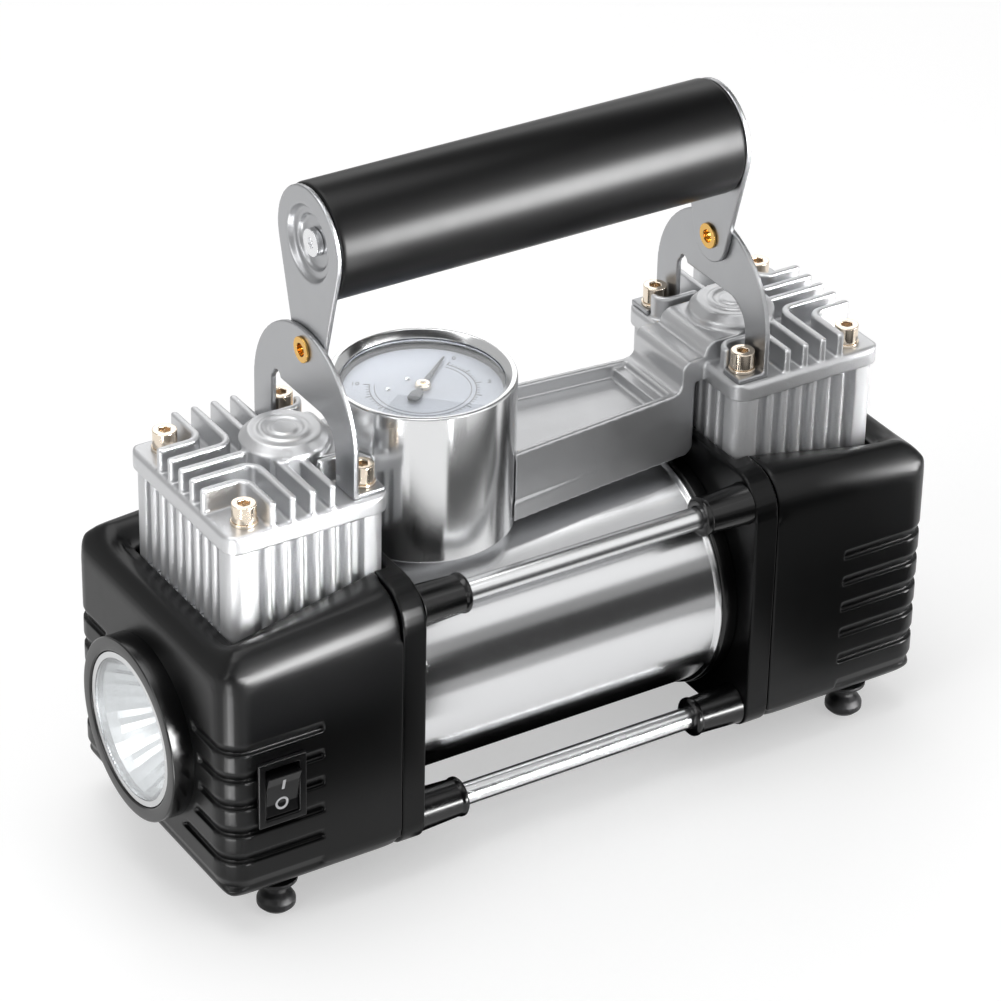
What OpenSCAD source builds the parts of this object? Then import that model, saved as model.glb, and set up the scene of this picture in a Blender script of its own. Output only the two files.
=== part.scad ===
// Portable twin-cylinder air compressor, in millimetres.
// X runs along the motor shaft with the lamp at -X, -Y faces the switch side, Z is up.
// The origin lies on the floor under the middle of the object's box.

/* [Body] */
// Length of a housing
housing_len = 55.9; // [54:0.1:62]
// Width of the housings
body_w = 90; // [88:1:100]
// Height of the housings' top face above the floor
body_top = 96; // [94:0.5:98]
// Height of the housings' underside above the floor
ground_gap = 11; // [10:0.5:12]
// Wall of the housings
wall = 2.4; // [2:0.1:3]
// Radius of the housings' long top edges
top_r = 12; // [10:0.5:12.5]
// Radius of the housings' upright corners and lower edges
edge_r = 8; // [5:0.5:9]
// Distance between the inner faces of the two end plates
motor_gap = 110; // [106:1:114]
// Thickness of an end plate
plate_t = 7.5; // [6:0.25:8.5]

/* [Grooves] */
// Number of grooves round each outer corner
groove_n = 6; // [3:1:6]
// Height of the lowest groove's middle
groove_z = 18; // [17:0.5:20]
// Distance from one groove to the next
groove_pitch = 9; // [7:0.25:9.5]
// Height of a groove
groove_h = 3.6; // [2:0.1:4.5]
// Depth of a groove at its sharp lower ledge
groove_d = 1.5; // [0.8:0.1:2]
// Length of a groove along the side face, from the outer end
groove_len = 31; // [24:1:36]

/* [Motor] */
// Height of the shaft's axis
shaft_z = 49; // [48:0.5:50]
// Radius of the motor can
can_r = 36.6; // [34:0.2:37]
// Wall of the motor can
can_wall = 1.8; // [1.2:0.1:2.2]
// Radius of the motor's end ring
end_ring_r = 38; // [37.5:0.25:39]
// Length of the motor's end ring
end_ring_len = 5; // [4:0.5:7]
// Radius of the shaft
shaft_r = 4; // [3:0.25:5]
// Radius of the armature
armature_r = 28; // [25:0.5:29]
// Length of the armature's laminated core
armature_len = 46; // [36:1:50]
// Thickness of a field magnet
magnet_t = 5; // [3.5:0.25:5.5]
// Radius of the commutator
commutator_r = 11; // [9:0.5:12]
// Outer radius of a shaft bearing
bearing_r = 11; // [10:0.5:12]

/* [Tie rods] */
// Radius of a tie rod
rod_r = 3.3; // [2.5:0.1:3.6]
// Distance of the rods from the end plates' sides and underside
rod_in = 7.2; // [7:0.1:8]
// Distance of the upper rods from the end plates' top
rod_down = 9; // [8.5:0.25:10]
// Length of a rod's sleeve
sleeve_len = 16; // [10:0.5:20]
// Radius of a sleeve at its free end
sleeve_tip_r = 5.6; // [5:0.1:6]
// Radius of a sleeve at the end plate
sleeve_base_r = 6.4; // [6.2:0.1:6.6]

/* [Cylinders and heads] */
// Distance of a cylinder's axis from its end plate
head_out = 20; // [19.5:0.1:21]
// Length of a head's plate along X
head_len = 51; // [49:0.5:52]
// Width of a head's plate along Y
head_w = 59; // [57:0.5:60]
// Height of the head plate's underside
head_z = 114.5; // [113:0.5:116]
// Thickness of the head plate
head_t = 5.5; // [4.5:0.25:6.5]
// Distance by which the finned cylinder block stands inside the plate's edge
block_inset = 1.2; // [0.8:0.1:2]
// Depth by which a cylinder block is sunk in its housing
block_sink = 11; // [10:0.25:12]
// Radius of the cylinder's bore
bore_r = 16; // [14:0.25:17]
// Distance between two cooling grooves of the block
cool_pitch = 5; // [4:0.25:6]
// Depth of a cooling groove
cool_d = 2.6; // [1.5:0.1:3]
// Distance of the head screws from the plate's side edges
screw_side = 6.9; // [6.5:0.1:7.5]
// Distance of the outer head screws from the plate's outer edge
screw_edge_out = 8.5; // [8:0.1:9.5]
// Distance of the inner head screws from the plate's inner edge
screw_edge_in = 5.9; // [5.5:0.1:6.5]
// Radius of a head screw's shank
screw_r = 2; // [1.5:0.1:2.2]
// Radius of a head screw's head
screw_head_r = 3.5; // [3.2:0.1:3.8]
// Height of a head screw's head
screw_head_h = 5.2; // [4:0.2:5.6]
// Thickness of a washer
washer_t = 1; // [0.6:0.1:1.4]
// Height of the cooling fins on a head
fin_h = 7.2; // [5:0.2:8.6]
// Thickness of a cooling fin
fin_t = 2.2; // [1.6:0.1:2.6]
// Distance from one fin to the next
fin_pitch = 6.2; // [5.8:0.1:6.4]
// Radius of the round boss on a head
boss_r = 12.5; // [11.5:0.25:13]
// Height of the boss above the head plate
boss_h = 10.7; // [9:0.1:12]
// Distance of the boss from the cylinder's axis
boss_in = 8; // [7:0.25:9]

/* [Crank and pistons] */
// Throw of a crank pin
throw = 6.5; // [5:0.25:7]
// Radius of a crank pin
crank_pin_r = 3.5; // [3:0.25:4]
// Radius of a crank disc
crank_disc_r = 17; // [15:0.5:18]
// Thickness of a crank disc
crank_disc_t = 7; // [5:0.5:8]
// Width of a connecting rod along the shaft
conrod_w = 8; // [6:0.5:9]
// Outer radius of a rod bearing
rod_bearing_r = 8; // [7:0.25:9]
// Gap between the crank pin's end and the connecting rod
crank_gap = 0.4; // [0.3:0.1:0.8]

/* [Air duct] */
// Half width of the duct at the gauge
duct_wide = 20; // [17:0.5:21]
// Half width of the duct at a head
duct_narrow = 12; // [10:0.5:13]
// Height of the duct's underside above the motor
duct_clear = 5.4; // [5:0.2:7]
// Depth of the duct's rim below the head plate's underside
duct_drop = 2; // [1.5:0.25:4]
// Depth of the tray on the duct's top
duct_tray = 4.5; // [2:0.5:6]
// Width of the tray's rim
duct_lip = 2.2; // [1.5:0.1:3]
// Radius of the drilled air passage
passage_r = 2; // [1.5:0.1:2.5]

/* [Gauge] */
// Gap between the gauge and the front head
gauge_gap = 0.5; // [0.3:0.1:1.2]
// Outer radius of the gauge's shell
gauge_r = 26.5; // [25:0.25:26.5]
// Height of the shell's foot above the motor
gauge_clear = 3.4; // [3:0.2:4]
// Height of the shell
gauge_h = 46.7; // [45:0.1:48]
// Wall of the shell
gauge_wall = 1.4; // [1:0.1:2]
// Depth of the glass below the rim
glass_depth = 2; // [1.6:0.2:3]
// Thickness of the glass
glass_t = 1.5; // [1.2:0.1:2]
// Width of the dark ring round the dial
bezel_w = 2.5; // [2.2:0.1:4]
// Direction of the pointer at rest
needle_angle = 39; // [0:1:180]
// Length of the pointer from its hub
needle_len = 17; // [12:0.5:19]

/* [Handle] */
// Height of the handle's pivots above the heads
pivot_rise = 33.7; // [33:0.1:36]
// Distance from the pivots to the grip's axis
handle_rise = 32; // [30:0.5:36]
// Radius of the grip
grip_r = 16.7; // [15:0.1:17]
// Wall of the grip's tube
grip_wall = 1.6; // [1.2:0.1:2.4]
// Thickness of the sheet of the arms and the brackets
sheet_t = 1.5; // [1.2:0.1:1.8]
// Radius of an arm's lower end
arm_end_r = 8; // [7:0.25:9]
// Depth of the dish pressed into an arm
dish_depth = 3; // [2:0.25:4]
// Radius of the dish
dish_r = 12; // [10.5:0.25:12.5]
// Distance of a bracket's edges inside the head's edges
bracket_side = 1.5; // [1:0.1:2.5]
// Height of the bracket's opening above the head plate
bracket_open = 18.5; // [16:0.5:20]
// Width of a bracket's leg
leg_w = 10.5; // [9.5:0.1:11]
// Radius of an eyelet's barrel
eyelet_r = 2.75; // [2:0.05:3]
// Radius of an eyelet's flange
eyelet_flange_r = 3.8; // [3.4:0.1:4.4]

/* [Lamp and switch] */
// Distance by which the lamp stands out of the front face
lamp_proud = 6.5; // [5:0.25:8]
// Radius of the lamp's bezel
lamp_r = 27; // [25:0.25:28]
// Height of the lamp's middle
lamp_z = 48; // [47:0.5:50]
// Width of the lamp's rim round the lens
lamp_rim = 4.2; // [3.5:0.1:6]
// Distance of the switch's middle from the housing's outer end
switch_in = 17; // [16.5:0.5:20]
// Height of the switch
switch_z = 47; // [45:0.5:49]
// Length of the switch's frame
switch_len = 15; // [14:0.25:16]
// Height of the switch's frame
switch_h = 21; // [20:0.25:22]
// Tilt of the rocker from its middle
rocker_tilt = 9; // [6:0.5:10]

/* [Feet] */
// Distance of the feet from the housings' outer ends
foot_in = 20.5; // [18:0.5:24]
// Distance of the feet from the housings' sides
foot_side = 9.5; // [9:0.25:12]
// Radius of a foot
foot_r = 5.6; // [5:0.1:7]

/* [Hose and cord] */
// Radius of the hose outlet's spigot
outlet_r = 4.8; // [4.4:0.1:6]
// Length of the spigot's free end
outlet_len = 8; // [6:0.5:9]
// Place of the cord's gland across the body
gland_y = 37; // [36.6:0.1:37.5]
// Height of the cord's gland above the shaft
gland_rise = 25; // [24.6:0.1:25.6]
// Radius of the hole for the cord
cord_r = 3; // [2.5:0.1:3.2]

/* [Fits] */
// Gap round a turning or sliding fit
run_fit = 0.05; // [0.02:0.01:0.08]
// Gap between pieces that are screwed or laid together
seat = 0.1; // [0.05:0.05:0.2]

/* [Hidden] */
$fn = 64;
FRONT = -1;
REAR = 1;
ENDS = [FRONT, REAR];
SIDES = [-1, 1];
eps = 0.01;
past = 1;
half_w = body_w / 2;
mid_x = lamp_proud / 2;
plate_in = motor_gap / 2;
plate_out = plate_in + plate_t;
half_len = plate_out + seat + housing_len;
foot_x = half_len - foot_in;
foot_y = half_w - foot_side;
switch_x = half_len - switch_in;
rod_y_at = half_w - rod_in;
rod_heights = [ground_gap + rod_in, body_top - rod_down];
sleeve_tip = plate_in - sleeve_len;
back_wall = wall + groove_d;

head_x = plate_out + head_out;
head_top = head_z + head_t;
fin_top = head_top + fin_h;
head_inner = head_x - head_len / 2;
head_outer = head_x + head_len / 2;
block_foot_z = body_top - block_sink;
block_half_x = head_len / 2 - block_inset;
block_half_y = head_w / 2 - block_inset;
block_corner_r = 4;
post_w = cool_pitch * 1.45;
boss_x = head_x - boss_in;
screw_in = head_inner + screw_edge_in;
screw_out = head_outer - screw_edge_out;
screw_y = head_w / 2 - screw_side;
screw_depth = 18;
screw_clear = 5.9;
washer_rim = 0.4;
washer_r = screw_head_r + washer_rim;
fin_xs = [for (k = [0:3]) screw_out - screw_clear - fin_pitch * (3 - k)];
fin_edge = 0.8;
wall_half = 0.9;
wall_bend_r = 4;
wall_y = screw_y - washer_r - wall_bend_r;
wall_foot_x = screw_in - sqrt(pow(washer_r + wall_half + seat, 2) - pow(washer_r, 2));

bracket_in = screw_in + washer_r + seat;
bracket_out = bracket_in + sheet_t;
wall_end_x = bracket_out + 3.1;
bracket_base = head_top + seat;
bracket_half = head_w / 2 - bracket_side;
bracket_open_half = bracket_half - leg_w;
screw_seat = [head_top, bracket_base + sheet_t];
arm_out = bracket_in - seat;
arm_in = arm_out - sheet_t;
grip_end = arm_in - seat;
pivot_z = head_top + pivot_rise;
grip_z = pivot_z + handle_rise;
arch_z = pivot_z + 6 - bracket_half;
dish_floor = arm_out - dish_depth;
dish_sheet = 1.2;
dish_step_r = 7.4;
dish_ledge = dish_depth - 1.3;
plug_out = dish_floor - dish_sheet - seat;
plug_len = 8;

case_gap = 16;
case_side_gap = 1.5;
case_out = half_len - case_gap;
case_r = min(min(shaft_z - ground_gap, half_w) - wall - case_side_gap, block_foot_z - shaft_z - seat);
case_wall = 3;
case_pad_half = 22;
crank_in = plate_out + 4;
crank_out = crank_in + crank_disc_t;
crank_hub_r = shaft_r + 5;
conrod_in = head_x - conrod_w / 2;
piston_h = 4;
piston_top = head_z - 3.5;
piston_clear = 0.6;
rod_pin_z = [shaft_z + throw, shaft_z - throw];
valve_t = 1.5;
valve_r = bore_r + 3.8;
valve_z = head_z - valve_t - seat;
gasket_t = 0.5;
port_r = 3;
port_x = 7;
reed_r = port_r + 1.2;

commutator_gap = 10;
commutator_x = [armature_len / 2 + commutator_gap, plate_in - 4];
brush_len = 9;
brush_x = [commutator_x[0] + 3, commutator_x[0] + 3 + brush_len];
brush_half = 4;
brush_bare = 5;
brush_box_wall = 2;
brush_box_len = 11;
brush_box_y = [commutator_r + brush_bare, commutator_r + brush_bare + brush_box_len];

gauge_x = head_inner - gauge_r - gauge_gap;
gauge_low_z = shaft_z + can_r + gauge_clear;
gauge_top_z = gauge_low_z + gauge_h;
gauge_floor = 2;
gauge_room_r = gauge_r + seat + 0.1;
glass_z = gauge_top_z - glass_depth - glass_t;
glass_r = gauge_r - gauge_wall - seat - 2;
dial_gap = 3.2;
dial_r = gauge_r - gauge_wall - bezel_w - 2 * seat;
dial_z = glass_z - dial_gap;
dial_t = 0.8;
needle_post_r = 0.8;
movement_h = 15;
movement_r = dial_r - 3.9;
air_block_r = movement_r - 1.5;
air_block_top = dial_z - dial_t - movement_h - 2 * seat;

duct_low_z = shaft_z + can_r + duct_clear;
duct_rim_z = head_z - duct_drop;
drop_x = head_inner - 8.5;
duct_gap = 0.8;
duct_end = plate_in - duct_gap;
riser_x = (drop_x + 1 + duct_end) / 2;
riser_r = 1.6;
ledge_len = 4;
ledge_depth = 1.6;
flange_h = 6;
flange_proud = 1.2;
rear_passage_z = duct_low_z + 8;
front_passage_z = head_z + 3;

lens_r = lamp_r - lamp_rim;
lamp_back = half_len + lamp_proud - 3.6;
lamp_depth = 13;
lamp_board_r = 11;
gland_len = 11;

rocker_in = 3;
rocker_y = rocker_in - half_w;
rocker_out = 5.1;
rocker_end_gap = 3.3;
rocker_half_z = switch_h / 2 - rocker_end_gap;
trunnion_r = 1.2;
trunnion_len = 1.1;
rocker_proud = rocker_out * cos(rocker_tilt) + rocker_half_z * sin(rocker_tilt) - rocker_in;
outlet_rise = 12;
outlet_z = duct_low_z + outlet_rise;
outlet_reach = half_w + rocker_proud;

function arc(c, r, a0, a1, n = 8) = r <= 0 ? [c] :
    [for (i = [0:n]) c + r * [cos(a0 + (a1 - a0) * i / n), sin(a0 + (a1 - a0) * i / n)]];
// Corners of a rectangle with its own radius at each corner, from the lower left one round
function round_rect(lo, hi, r) = concat(
    arc([lo[0] + r[0], lo[1] + r[0]], r[0], 180, 270),
    arc([hi[0] - r[1], lo[1] + r[1]], r[1], 270, 360),
    arc([hi[0] - r[2], hi[1] - r[2]], r[2], 0, 90),
    arc([lo[0] + r[3], hi[1] - r[3]], r[3], 90, 180));

// One end of the machine: X is the distance from the middle
module at_end(end) {
    translate([mid_x, 0, 0])
        mirror([end == FRONT ? 1 : 0, 0, 0]) children();
}
module along_x(x0, x1) {
    translate([x0, 0, 0]) rotate([90, 0, 90]) linear_extrude(x1 - x0) children();
}
module along_y(y0, y1) {
    translate([0, y1, 0]) rotate([90, 0, 0]) linear_extrude(y1 - y0) children();
}
module along_z(z0, z1) {
    translate([0, 0, z0]) linear_extrude(z1 - z0) children();
}
module rod_x(x0, x1, r, y = 0, z = 0) {
    translate([x0, y, z]) rotate([0, 90, 0]) cylinder(h = x1 - x0, r = r);
}
module cone_x(x0, x1, r0, r1, y = 0, z = 0) {
    translate([x0, y, z]) rotate([0, 90, 0]) cylinder(h = x1 - x0, r1 = r0, r2 = r1);
}
module rod_y(y0, y1, r, x = 0, z = 0) {
    translate([x, y1, z]) rotate([90, 0, 0]) cylinder(h = y1 - y0, r = r);
}
module rod_z(z0, z1, r, x = 0, y = 0) {
    translate([x, y, z0]) cylinder(h = z1 - z0, r = r);
}
module box(lo, hi) {
    translate(lo) cube(hi - lo);
}

// Housings and end plates
module section(inset) {
    r_top = top_r - inset;
    r_low = edge_r - inset;
    polygon(round_rect([inset - half_w, ground_gap + inset], [half_w - inset, body_top - inset],
                       [r_low, r_low, r_top, r_top]));
}
module plan(x0, inset) {
    r = edge_r - inset;
    polygon(round_rect([x0, inset - half_w], [half_len - inset, half_w - inset], [0, r, r, 0]));
}
module body_block(x0, inset) {
    r_top = top_r - inset;
    r_low = edge_r - inset;
    intersection() {
        along_x(x0, half_len) section(inset);
        along_z(0, body_top + past) plan(x0 - past, inset);
        along_y(-half_w, half_w)
            polygon(round_rect([x0 - past, ground_gap + inset], [half_len - inset, body_top - inset],
                               [0, r_low, r_top, 0]));
    }
}
// A louvre's cut: it slopes in from the skin, and ends in a sharp ledge at its foot
function louvre_cut(skin) =
    let (half_h = groove_h / 2)
    [[skin + past, half_h], [skin, half_h], [skin - groove_d, -half_h], [skin + past, -half_h]];
module louvre(side) {
    x_bend = half_len - edge_r;
    y_bend = half_w - edge_r;
    mirror([0, side < 0 ? 1 : 0, 0]) {
        along_x(half_len - groove_len, x_bend) polygon(louvre_cut(half_w));
        translate([x_bend, y_bend, 0]) rotate_extrude(angle = 90) polygon(louvre_cut(edge_r));
        along_y(0, y_bend) polygon(louvre_cut(half_len));
    }
}
module grooves(keep_r) {
    difference() {
        for (k = [0:groove_n - 1], side = SIDES)
            translate([0, 0, groove_z + k * groove_pitch]) louvre(side);
        rod_x(half_len - edge_r, half_len + 2 * past, keep_r, 0, lamp_z);
    }
}
module block_opening(z0, z1) {
    box([head_x - block_half_x - seat, -block_half_y - seat, z0],
        [head_x + block_half_x + seat, block_half_y + seat, z1]);
}
module shell(keep_r) {
    difference() {
        body_block(plate_out + seat, 0);
        difference() {
            body_block(plate_out - past, wall);
            louvre_backing();
        }
        block_opening(block_foot_z - seat, body_top + past);
        grooves(keep_r);
        foot_holes();
    }
}
// Thicker walls behind the louvres
module louvre_backing() {
    box([half_len - back_wall, -half_w, ground_gap], [half_len, half_w, body_top]);
    for (side = SIDES)
        box([half_len - groove_len - wall, side > 0 ? half_w - back_wall : -half_w, ground_gap],
            [half_len, side > 0 ? half_w : back_wall - half_w, body_top]);
}
module foot_holes() {
    for (side = SIDES)
        rod_z(ground_gap - past, ground_gap + wall + past, foot_r - 2.4, foot_x, side * foot_y);
}
module front_housing() {
    color("#17181a") at_end(FRONT)
        difference() {
            shell(lamp_r + 2.5);
            rod_x(half_len - back_wall - past, half_len + past, lens_r + 2, 0, lamp_z);
            switch_hole();
        }
}
module switch_hole() {
    box([switch_x - switch_len / 2 + 1, -half_w - past, switch_z - switch_h / 2 + 1],
        [switch_x + switch_len / 2 - 1, past + back_wall - half_w, switch_z + switch_h / 2 - 1]);
}
module rear_housing() {
    color("#17181a") at_end(REAR) shell(lamp_r + 2.5);
}
module end_plate(end) {
    at_end(end)
        difference() {
            along_x(plate_in, plate_out) section(0);
            block_opening(block_foot_z - seat, body_top + past);
            rod_x(plate_in - past, plate_out + past, bearing_r + seat, 0, shaft_z);
            for (side = SIDES, z = rod_heights)
                rod_x(plate_in - past, plate_out + past, rod_r + seat, side * rod_y_at, z);
            if (end == FRONT) {
                rod_x(plate_in - past, plate_out + past, cord_r + 1.5, gland_y, shaft_z + gland_rise);
                rod_z(gauge_low_z - seat, body_top + past, gauge_room_r, gauge_x);
            }
        }
}
module front_end_plate() {
    color("#1b1c1e") end_plate(FRONT);
}
module rear_end_plate() {
    color("#1b1c1e") end_plate(REAR);
}

// Tie rods
module tie_rods() {
    color("#d9dadc")
        for (side = SIDES, z = rod_heights)
            rod_x(mid_x - plate_out, mid_x + plate_out, rod_r, side * rod_y_at, z);
}
module tie_rod_sleeves() {
    color("#0c0c0e")
        for (end = ENDS, side = SIDES, z = rod_heights)
            at_end(end) sleeve(side * rod_y_at, z);
}
module sleeve(y, z) {
    collar = 2;
    difference() {
        union() {
            rod_x(sleeve_tip, sleeve_tip + collar, sleeve_tip_r + 0.3, y, z);
            cone_x(sleeve_tip + collar, plate_in - seat, sleeve_tip_r, sleeve_base_r, y, z);
        }
        rod_x(sleeve_tip - past, plate_in + past, rod_r + seat, y, z);
    }
}

// Motor
module motor_can() {
    lip = 1.2;
    color("#c9cacc") translate([mid_x, 0, shaft_z])
        difference() {
            union() {
                rod_x(seat - plate_in, plate_in - end_ring_len - seat, can_r);
                rod_x(plate_in - end_ring_len - seat - lip, plate_in - end_ring_len - seat, end_ring_r - 0.4);
            }
            rod_x(-plate_in, plate_in, can_r - can_wall);
        }
}
module motor_end_ring() {
    color("#101113") translate([mid_x, 0, shaft_z])
        difference() {
            rod_x(plate_in - end_ring_len, plate_in - seat, end_ring_r);
            rod_x(plate_in - end_ring_len - past, plate_in, can_r - can_wall);
        }
}
module field_magnets() {
    outer = can_r - can_wall - seat;
    color("#3c3d40") translate([mid_x, 0, shaft_z])
        difference() {
            rod_x(-armature_len / 2 - 4, armature_len / 2 + 4, outer);
            rod_x(-armature_len, armature_len, outer - magnet_t);
            box([-armature_len, -outer, -8], [armature_len, outer, 8]);
        }
}
module armature_core() {
    slots = 12;
    slot_w = 2.4;
    slot_d = 9;
    color("#8b8d90") translate([mid_x, 0, shaft_z])
        difference() {
            rod_x(-armature_len / 2, armature_len / 2, armature_r);
            rod_x(-armature_len, armature_len, shaft_r);
            for (k = [0:slots - 1])
                rotate([360 * k / slots, 0, 0])
                    box([-armature_len, -slot_w / 2, armature_r - slot_d],
                        [armature_len, slot_w / 2, armature_r + past]);
        }
}
module armature_windings() {
    bulge = 8;
    slope = 3;
    inner = shaft_r + 5;
    outer = armature_r - 3;
    color("#b5672c") translate([mid_x, 0, shaft_z])
        for (end = ENDS)
            mirror([end == FRONT ? 1 : 0, 0, 0])
                translate([armature_len / 2, 0, 0]) rotate([0, 90, 0])
                    rotate_extrude()
                        polygon([[inner, 0], [outer, 0], [outer, bulge - slope], [outer - slope, bulge],
                                 [inner + slope, bulge], [inner, bulge - slope]]);
}
module commutator() {
    bars = 12;
    color("#c07a45") translate([mid_x, 0, shaft_z])
        difference() {
            rod_x(commutator_x[0], commutator_x[1], commutator_r);
            rod_x(commutator_x[0] - past, commutator_x[1] + past, shaft_r);
            for (k = [0:bars - 1])
                rotate([360 * k / bars, 0, 0])
                    box([commutator_x[0] - past, -0.3, commutator_r - 1],
                        [commutator_x[1] + past, 0.3, commutator_r + past]);
        }
}
module motor_shaft() {
    color("#b9bbbe") rod_x(mid_x - crank_out, mid_x + crank_out, shaft_r, 0, shaft_z);
}
module shaft_bearings() {
    color("#9fa1a4")
        for (end = ENDS)
            at_end(end) difference() {
                rod_x(plate_in + 0.4, plate_out - 0.4, bearing_r, 0, shaft_z);
                rod_x(plate_in, plate_out, shaft_r + run_fit, 0, shaft_z);
            }
}
module brush_plate() {
    inner = can_r - can_wall - seat;
    t = 2;
    color("#6b4a2e") translate([mid_x, 0, shaft_z])
        difference() {
            rod_x(brush_x[0] - t, brush_x[0], inner);
            rod_x(brush_x[0] - t - past, brush_x[1], commutator_r + 1.5);
        }
    color("#6b4a2e") translate([mid_x, 0, shaft_z])
        for (side = SIDES)
            mirror([0, side < 0 ? 1 : 0, 0]) difference() {
                box([brush_x[0], brush_box_y[0], -brush_half - brush_box_wall],
                    [brush_x[1], brush_box_y[1], brush_half + brush_box_wall]);
                box([brush_x[0] - past, 0, -brush_half - seat], [brush_x[1] - 1.5, inner, brush_half + seat]);
            }
}
module brushes() {
    tip = commutator_r + run_fit;
    color("#2a2a2c") translate([mid_x, 0, shaft_z])
        difference() {
            for (side = SIDES)
                mirror([0, side < 0 ? 1 : 0, 0])
                    box([brush_x[0] + seat, commutator_r - 2, -brush_half],
                        [brush_x[1] - 1.6, brush_box_y[1] - 3, brush_half]);
            rod_x(commutator_x[0] - past, commutator_x[1] + past, tip);
        }
}

// Crankcases, cylinders and valves
module crankcase(end) {
    at_end(end)
        difference() {
            union() {
                rod_x(plate_out + seat, case_out, case_r, 0, shaft_z);
                box([plate_out + seat, -case_pad_half, shaft_z + 10],
                    [head_x + block_half_x, case_pad_half, block_foot_z - seat]);
            }
            rod_x(plate_out + case_wall, case_out + past, case_r - case_wall, 0, shaft_z);
            rod_x(plate_out - past, case_out, bearing_r - 2, 0, shaft_z);
            rod_z(shaft_z, block_foot_z + past, bore_r + 1, head_x);
        }
}
module front_crankcase() {
    color("#a4a6a9") crankcase(FRONT);
}
module rear_crankcase() {
    color("#a4a6a9") crankcase(REAR);
}
// Ribs with round edges along one face of the block, which looks along +X
module ribs(half_face, reach) {
    rib_w = cool_pitch * 0.55;
    n = floor((2 * half_face - 3 * cool_pitch) / cool_pitch / 2);
    for (k = [-n:n - 1])
        translate([0, (k + 0.5) * cool_pitch]) {
            translate([reach - cool_d - rib_w, -rib_w / 2]) square([cool_d + rib_w / 2, rib_w]);
            translate([reach - rib_w / 2, 0]) circle(r = rib_w / 2);
        }
}
module block_section() {
    r = block_corner_r;
    core_x = block_half_x - cool_d;
    core_y = block_half_y - cool_d;
    difference() {
        polygon(round_rect([-block_half_x, -block_half_y], [block_half_x, block_half_y], [r, r, r, r]));
        for (side = SIDES) {
            translate([side > 0 ? core_x : -block_half_x - past, -block_half_y + post_w])
                square([cool_d + past, 2 * (block_half_y - post_w)]);
            translate([-block_half_x + post_w, side > 0 ? core_y : -block_half_y - past])
                square([2 * (block_half_x - post_w), cool_d + past]);
        }
    }
    for (side = SIDES) {
        mirror([side < 0 ? 1 : 0, 0]) ribs(block_half_y, block_half_x);
        rotate([0, 0, side * 90]) ribs(block_half_x, block_half_y);
    }
}
module cylinder_block(end) {
    at_end(end)
        difference() {
            translate([head_x, 0, 0]) along_z(block_foot_z, head_z - seat) block_section();
            rod_z(block_foot_z - past, head_z + past, bore_r, head_x);
            rod_z(head_z - valve_t - gasket_t - 2 * seat, head_z + past, valve_r + seat, head_x);
            head_screw_holes(head_z - screw_depth - past, head_z + past);
        }
}
module head_screw_holes(z0, z1) {
    for (x = [screw_in, screw_out], side = SIDES)
        rod_z(z0, z1, screw_r + seat, x, side * screw_y);
}
module front_cylinder() {
    color("#c4c6c9") cylinder_block(FRONT);
}
module rear_cylinder() {
    color("#c4c6c9") cylinder_block(REAR);
}
module valve_plates() {
    color("#8f9296")
        for (end = ENDS)
            at_end(end) translate([head_x, 0, 0]) difference() {
                rod_z(valve_z, valve_z + valve_t, valve_r);
                for (side = SIDES)
                    rod_z(valve_z - past, valve_z + valve_t + past, port_r, side * port_x);
            }
}
module head_gaskets() {
    color("#7d2f22")
        for (end = ENDS)
            at_end(end) translate([head_x, 0, 0]) difference() {
                rod_z(valve_z - gasket_t, valve_z, valve_r);
                rod_z(valve_z - past, valve_z + past, bore_r);
            }
}
module valve_reeds() {
    reed_t = 0.2;
    color("#b8babd")
        for (end = ENDS, side = SIDES)
            at_end(end)
                translate([head_x + side * port_x, 0, side > 0 ? valve_z - reed_t : valve_z + valve_t])
                    linear_extrude(reed_t)
                        union() {
                            circle(r = reed_r);
                            translate([-reed_r / 2, -port_x]) square([reed_r, port_x]);
                        }
}

// Heads with their cast air ducts
// The base plate, with a soft upper edge
module head_plate() {
    r = 5;
    edge = 1.6;
    intersection() {
        along_z(head_z, head_top)
            polygon(round_rect([head_inner, -head_w / 2], [head_outer, head_w / 2], [r, r, r, r]));
        along_x(head_inner, head_outer)
            polygon(round_rect([-head_w / 2, head_z], [head_w / 2, head_top], [0, 0, edge, edge]));
        along_y(-head_w / 2, head_w / 2)
            polygon(round_rect([head_inner, head_z], [head_outer, head_top], [0, 0, edge, edge]));
    }
}
module fin_end(x, y) {
    translate([x, y]) circle(r = fin_t / 2);
}
module straight_fin(x) {
    y_end = head_w / 2 - fin_edge - fin_t / 2;
    along_z(head_top - eps, fin_top) {
        translate([x - fin_t / 2, 3]) square([fin_t, y_end - 3]);
        fin_end(x, y_end);
    }
}
// A fin that leaves the outer edge at y, bends round the screw and ends at the side edge at x
module bent_fin(x, y) {
    r = 4;
    t = fin_t / 2;
    x_end = head_outer - fin_edge - t;
    y_end = head_w / 2 - fin_edge - t;
    along_z(head_top - eps, fin_top) {
        polygon(concat([[x_end, y - t]], arc([x + r, y + r], r + t, 270, 180),
                       [[x - t, y_end], [x + t, y_end]],
                       arc([x + r, y + r], r - t, 180, 270), [[x_end, y + t]]));
        fin_end(x, y_end);
        fin_end(x_end, y);
    }
}
module middle_fin() {
    x_end = head_outer - fin_edge - fin_t / 2;
    along_z(head_top - eps, fin_top) {
        translate([boss_x, -fin_t / 2]) square([x_end - boss_x, fin_t]);
        fin_end(x_end, 0);
    }
}
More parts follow.
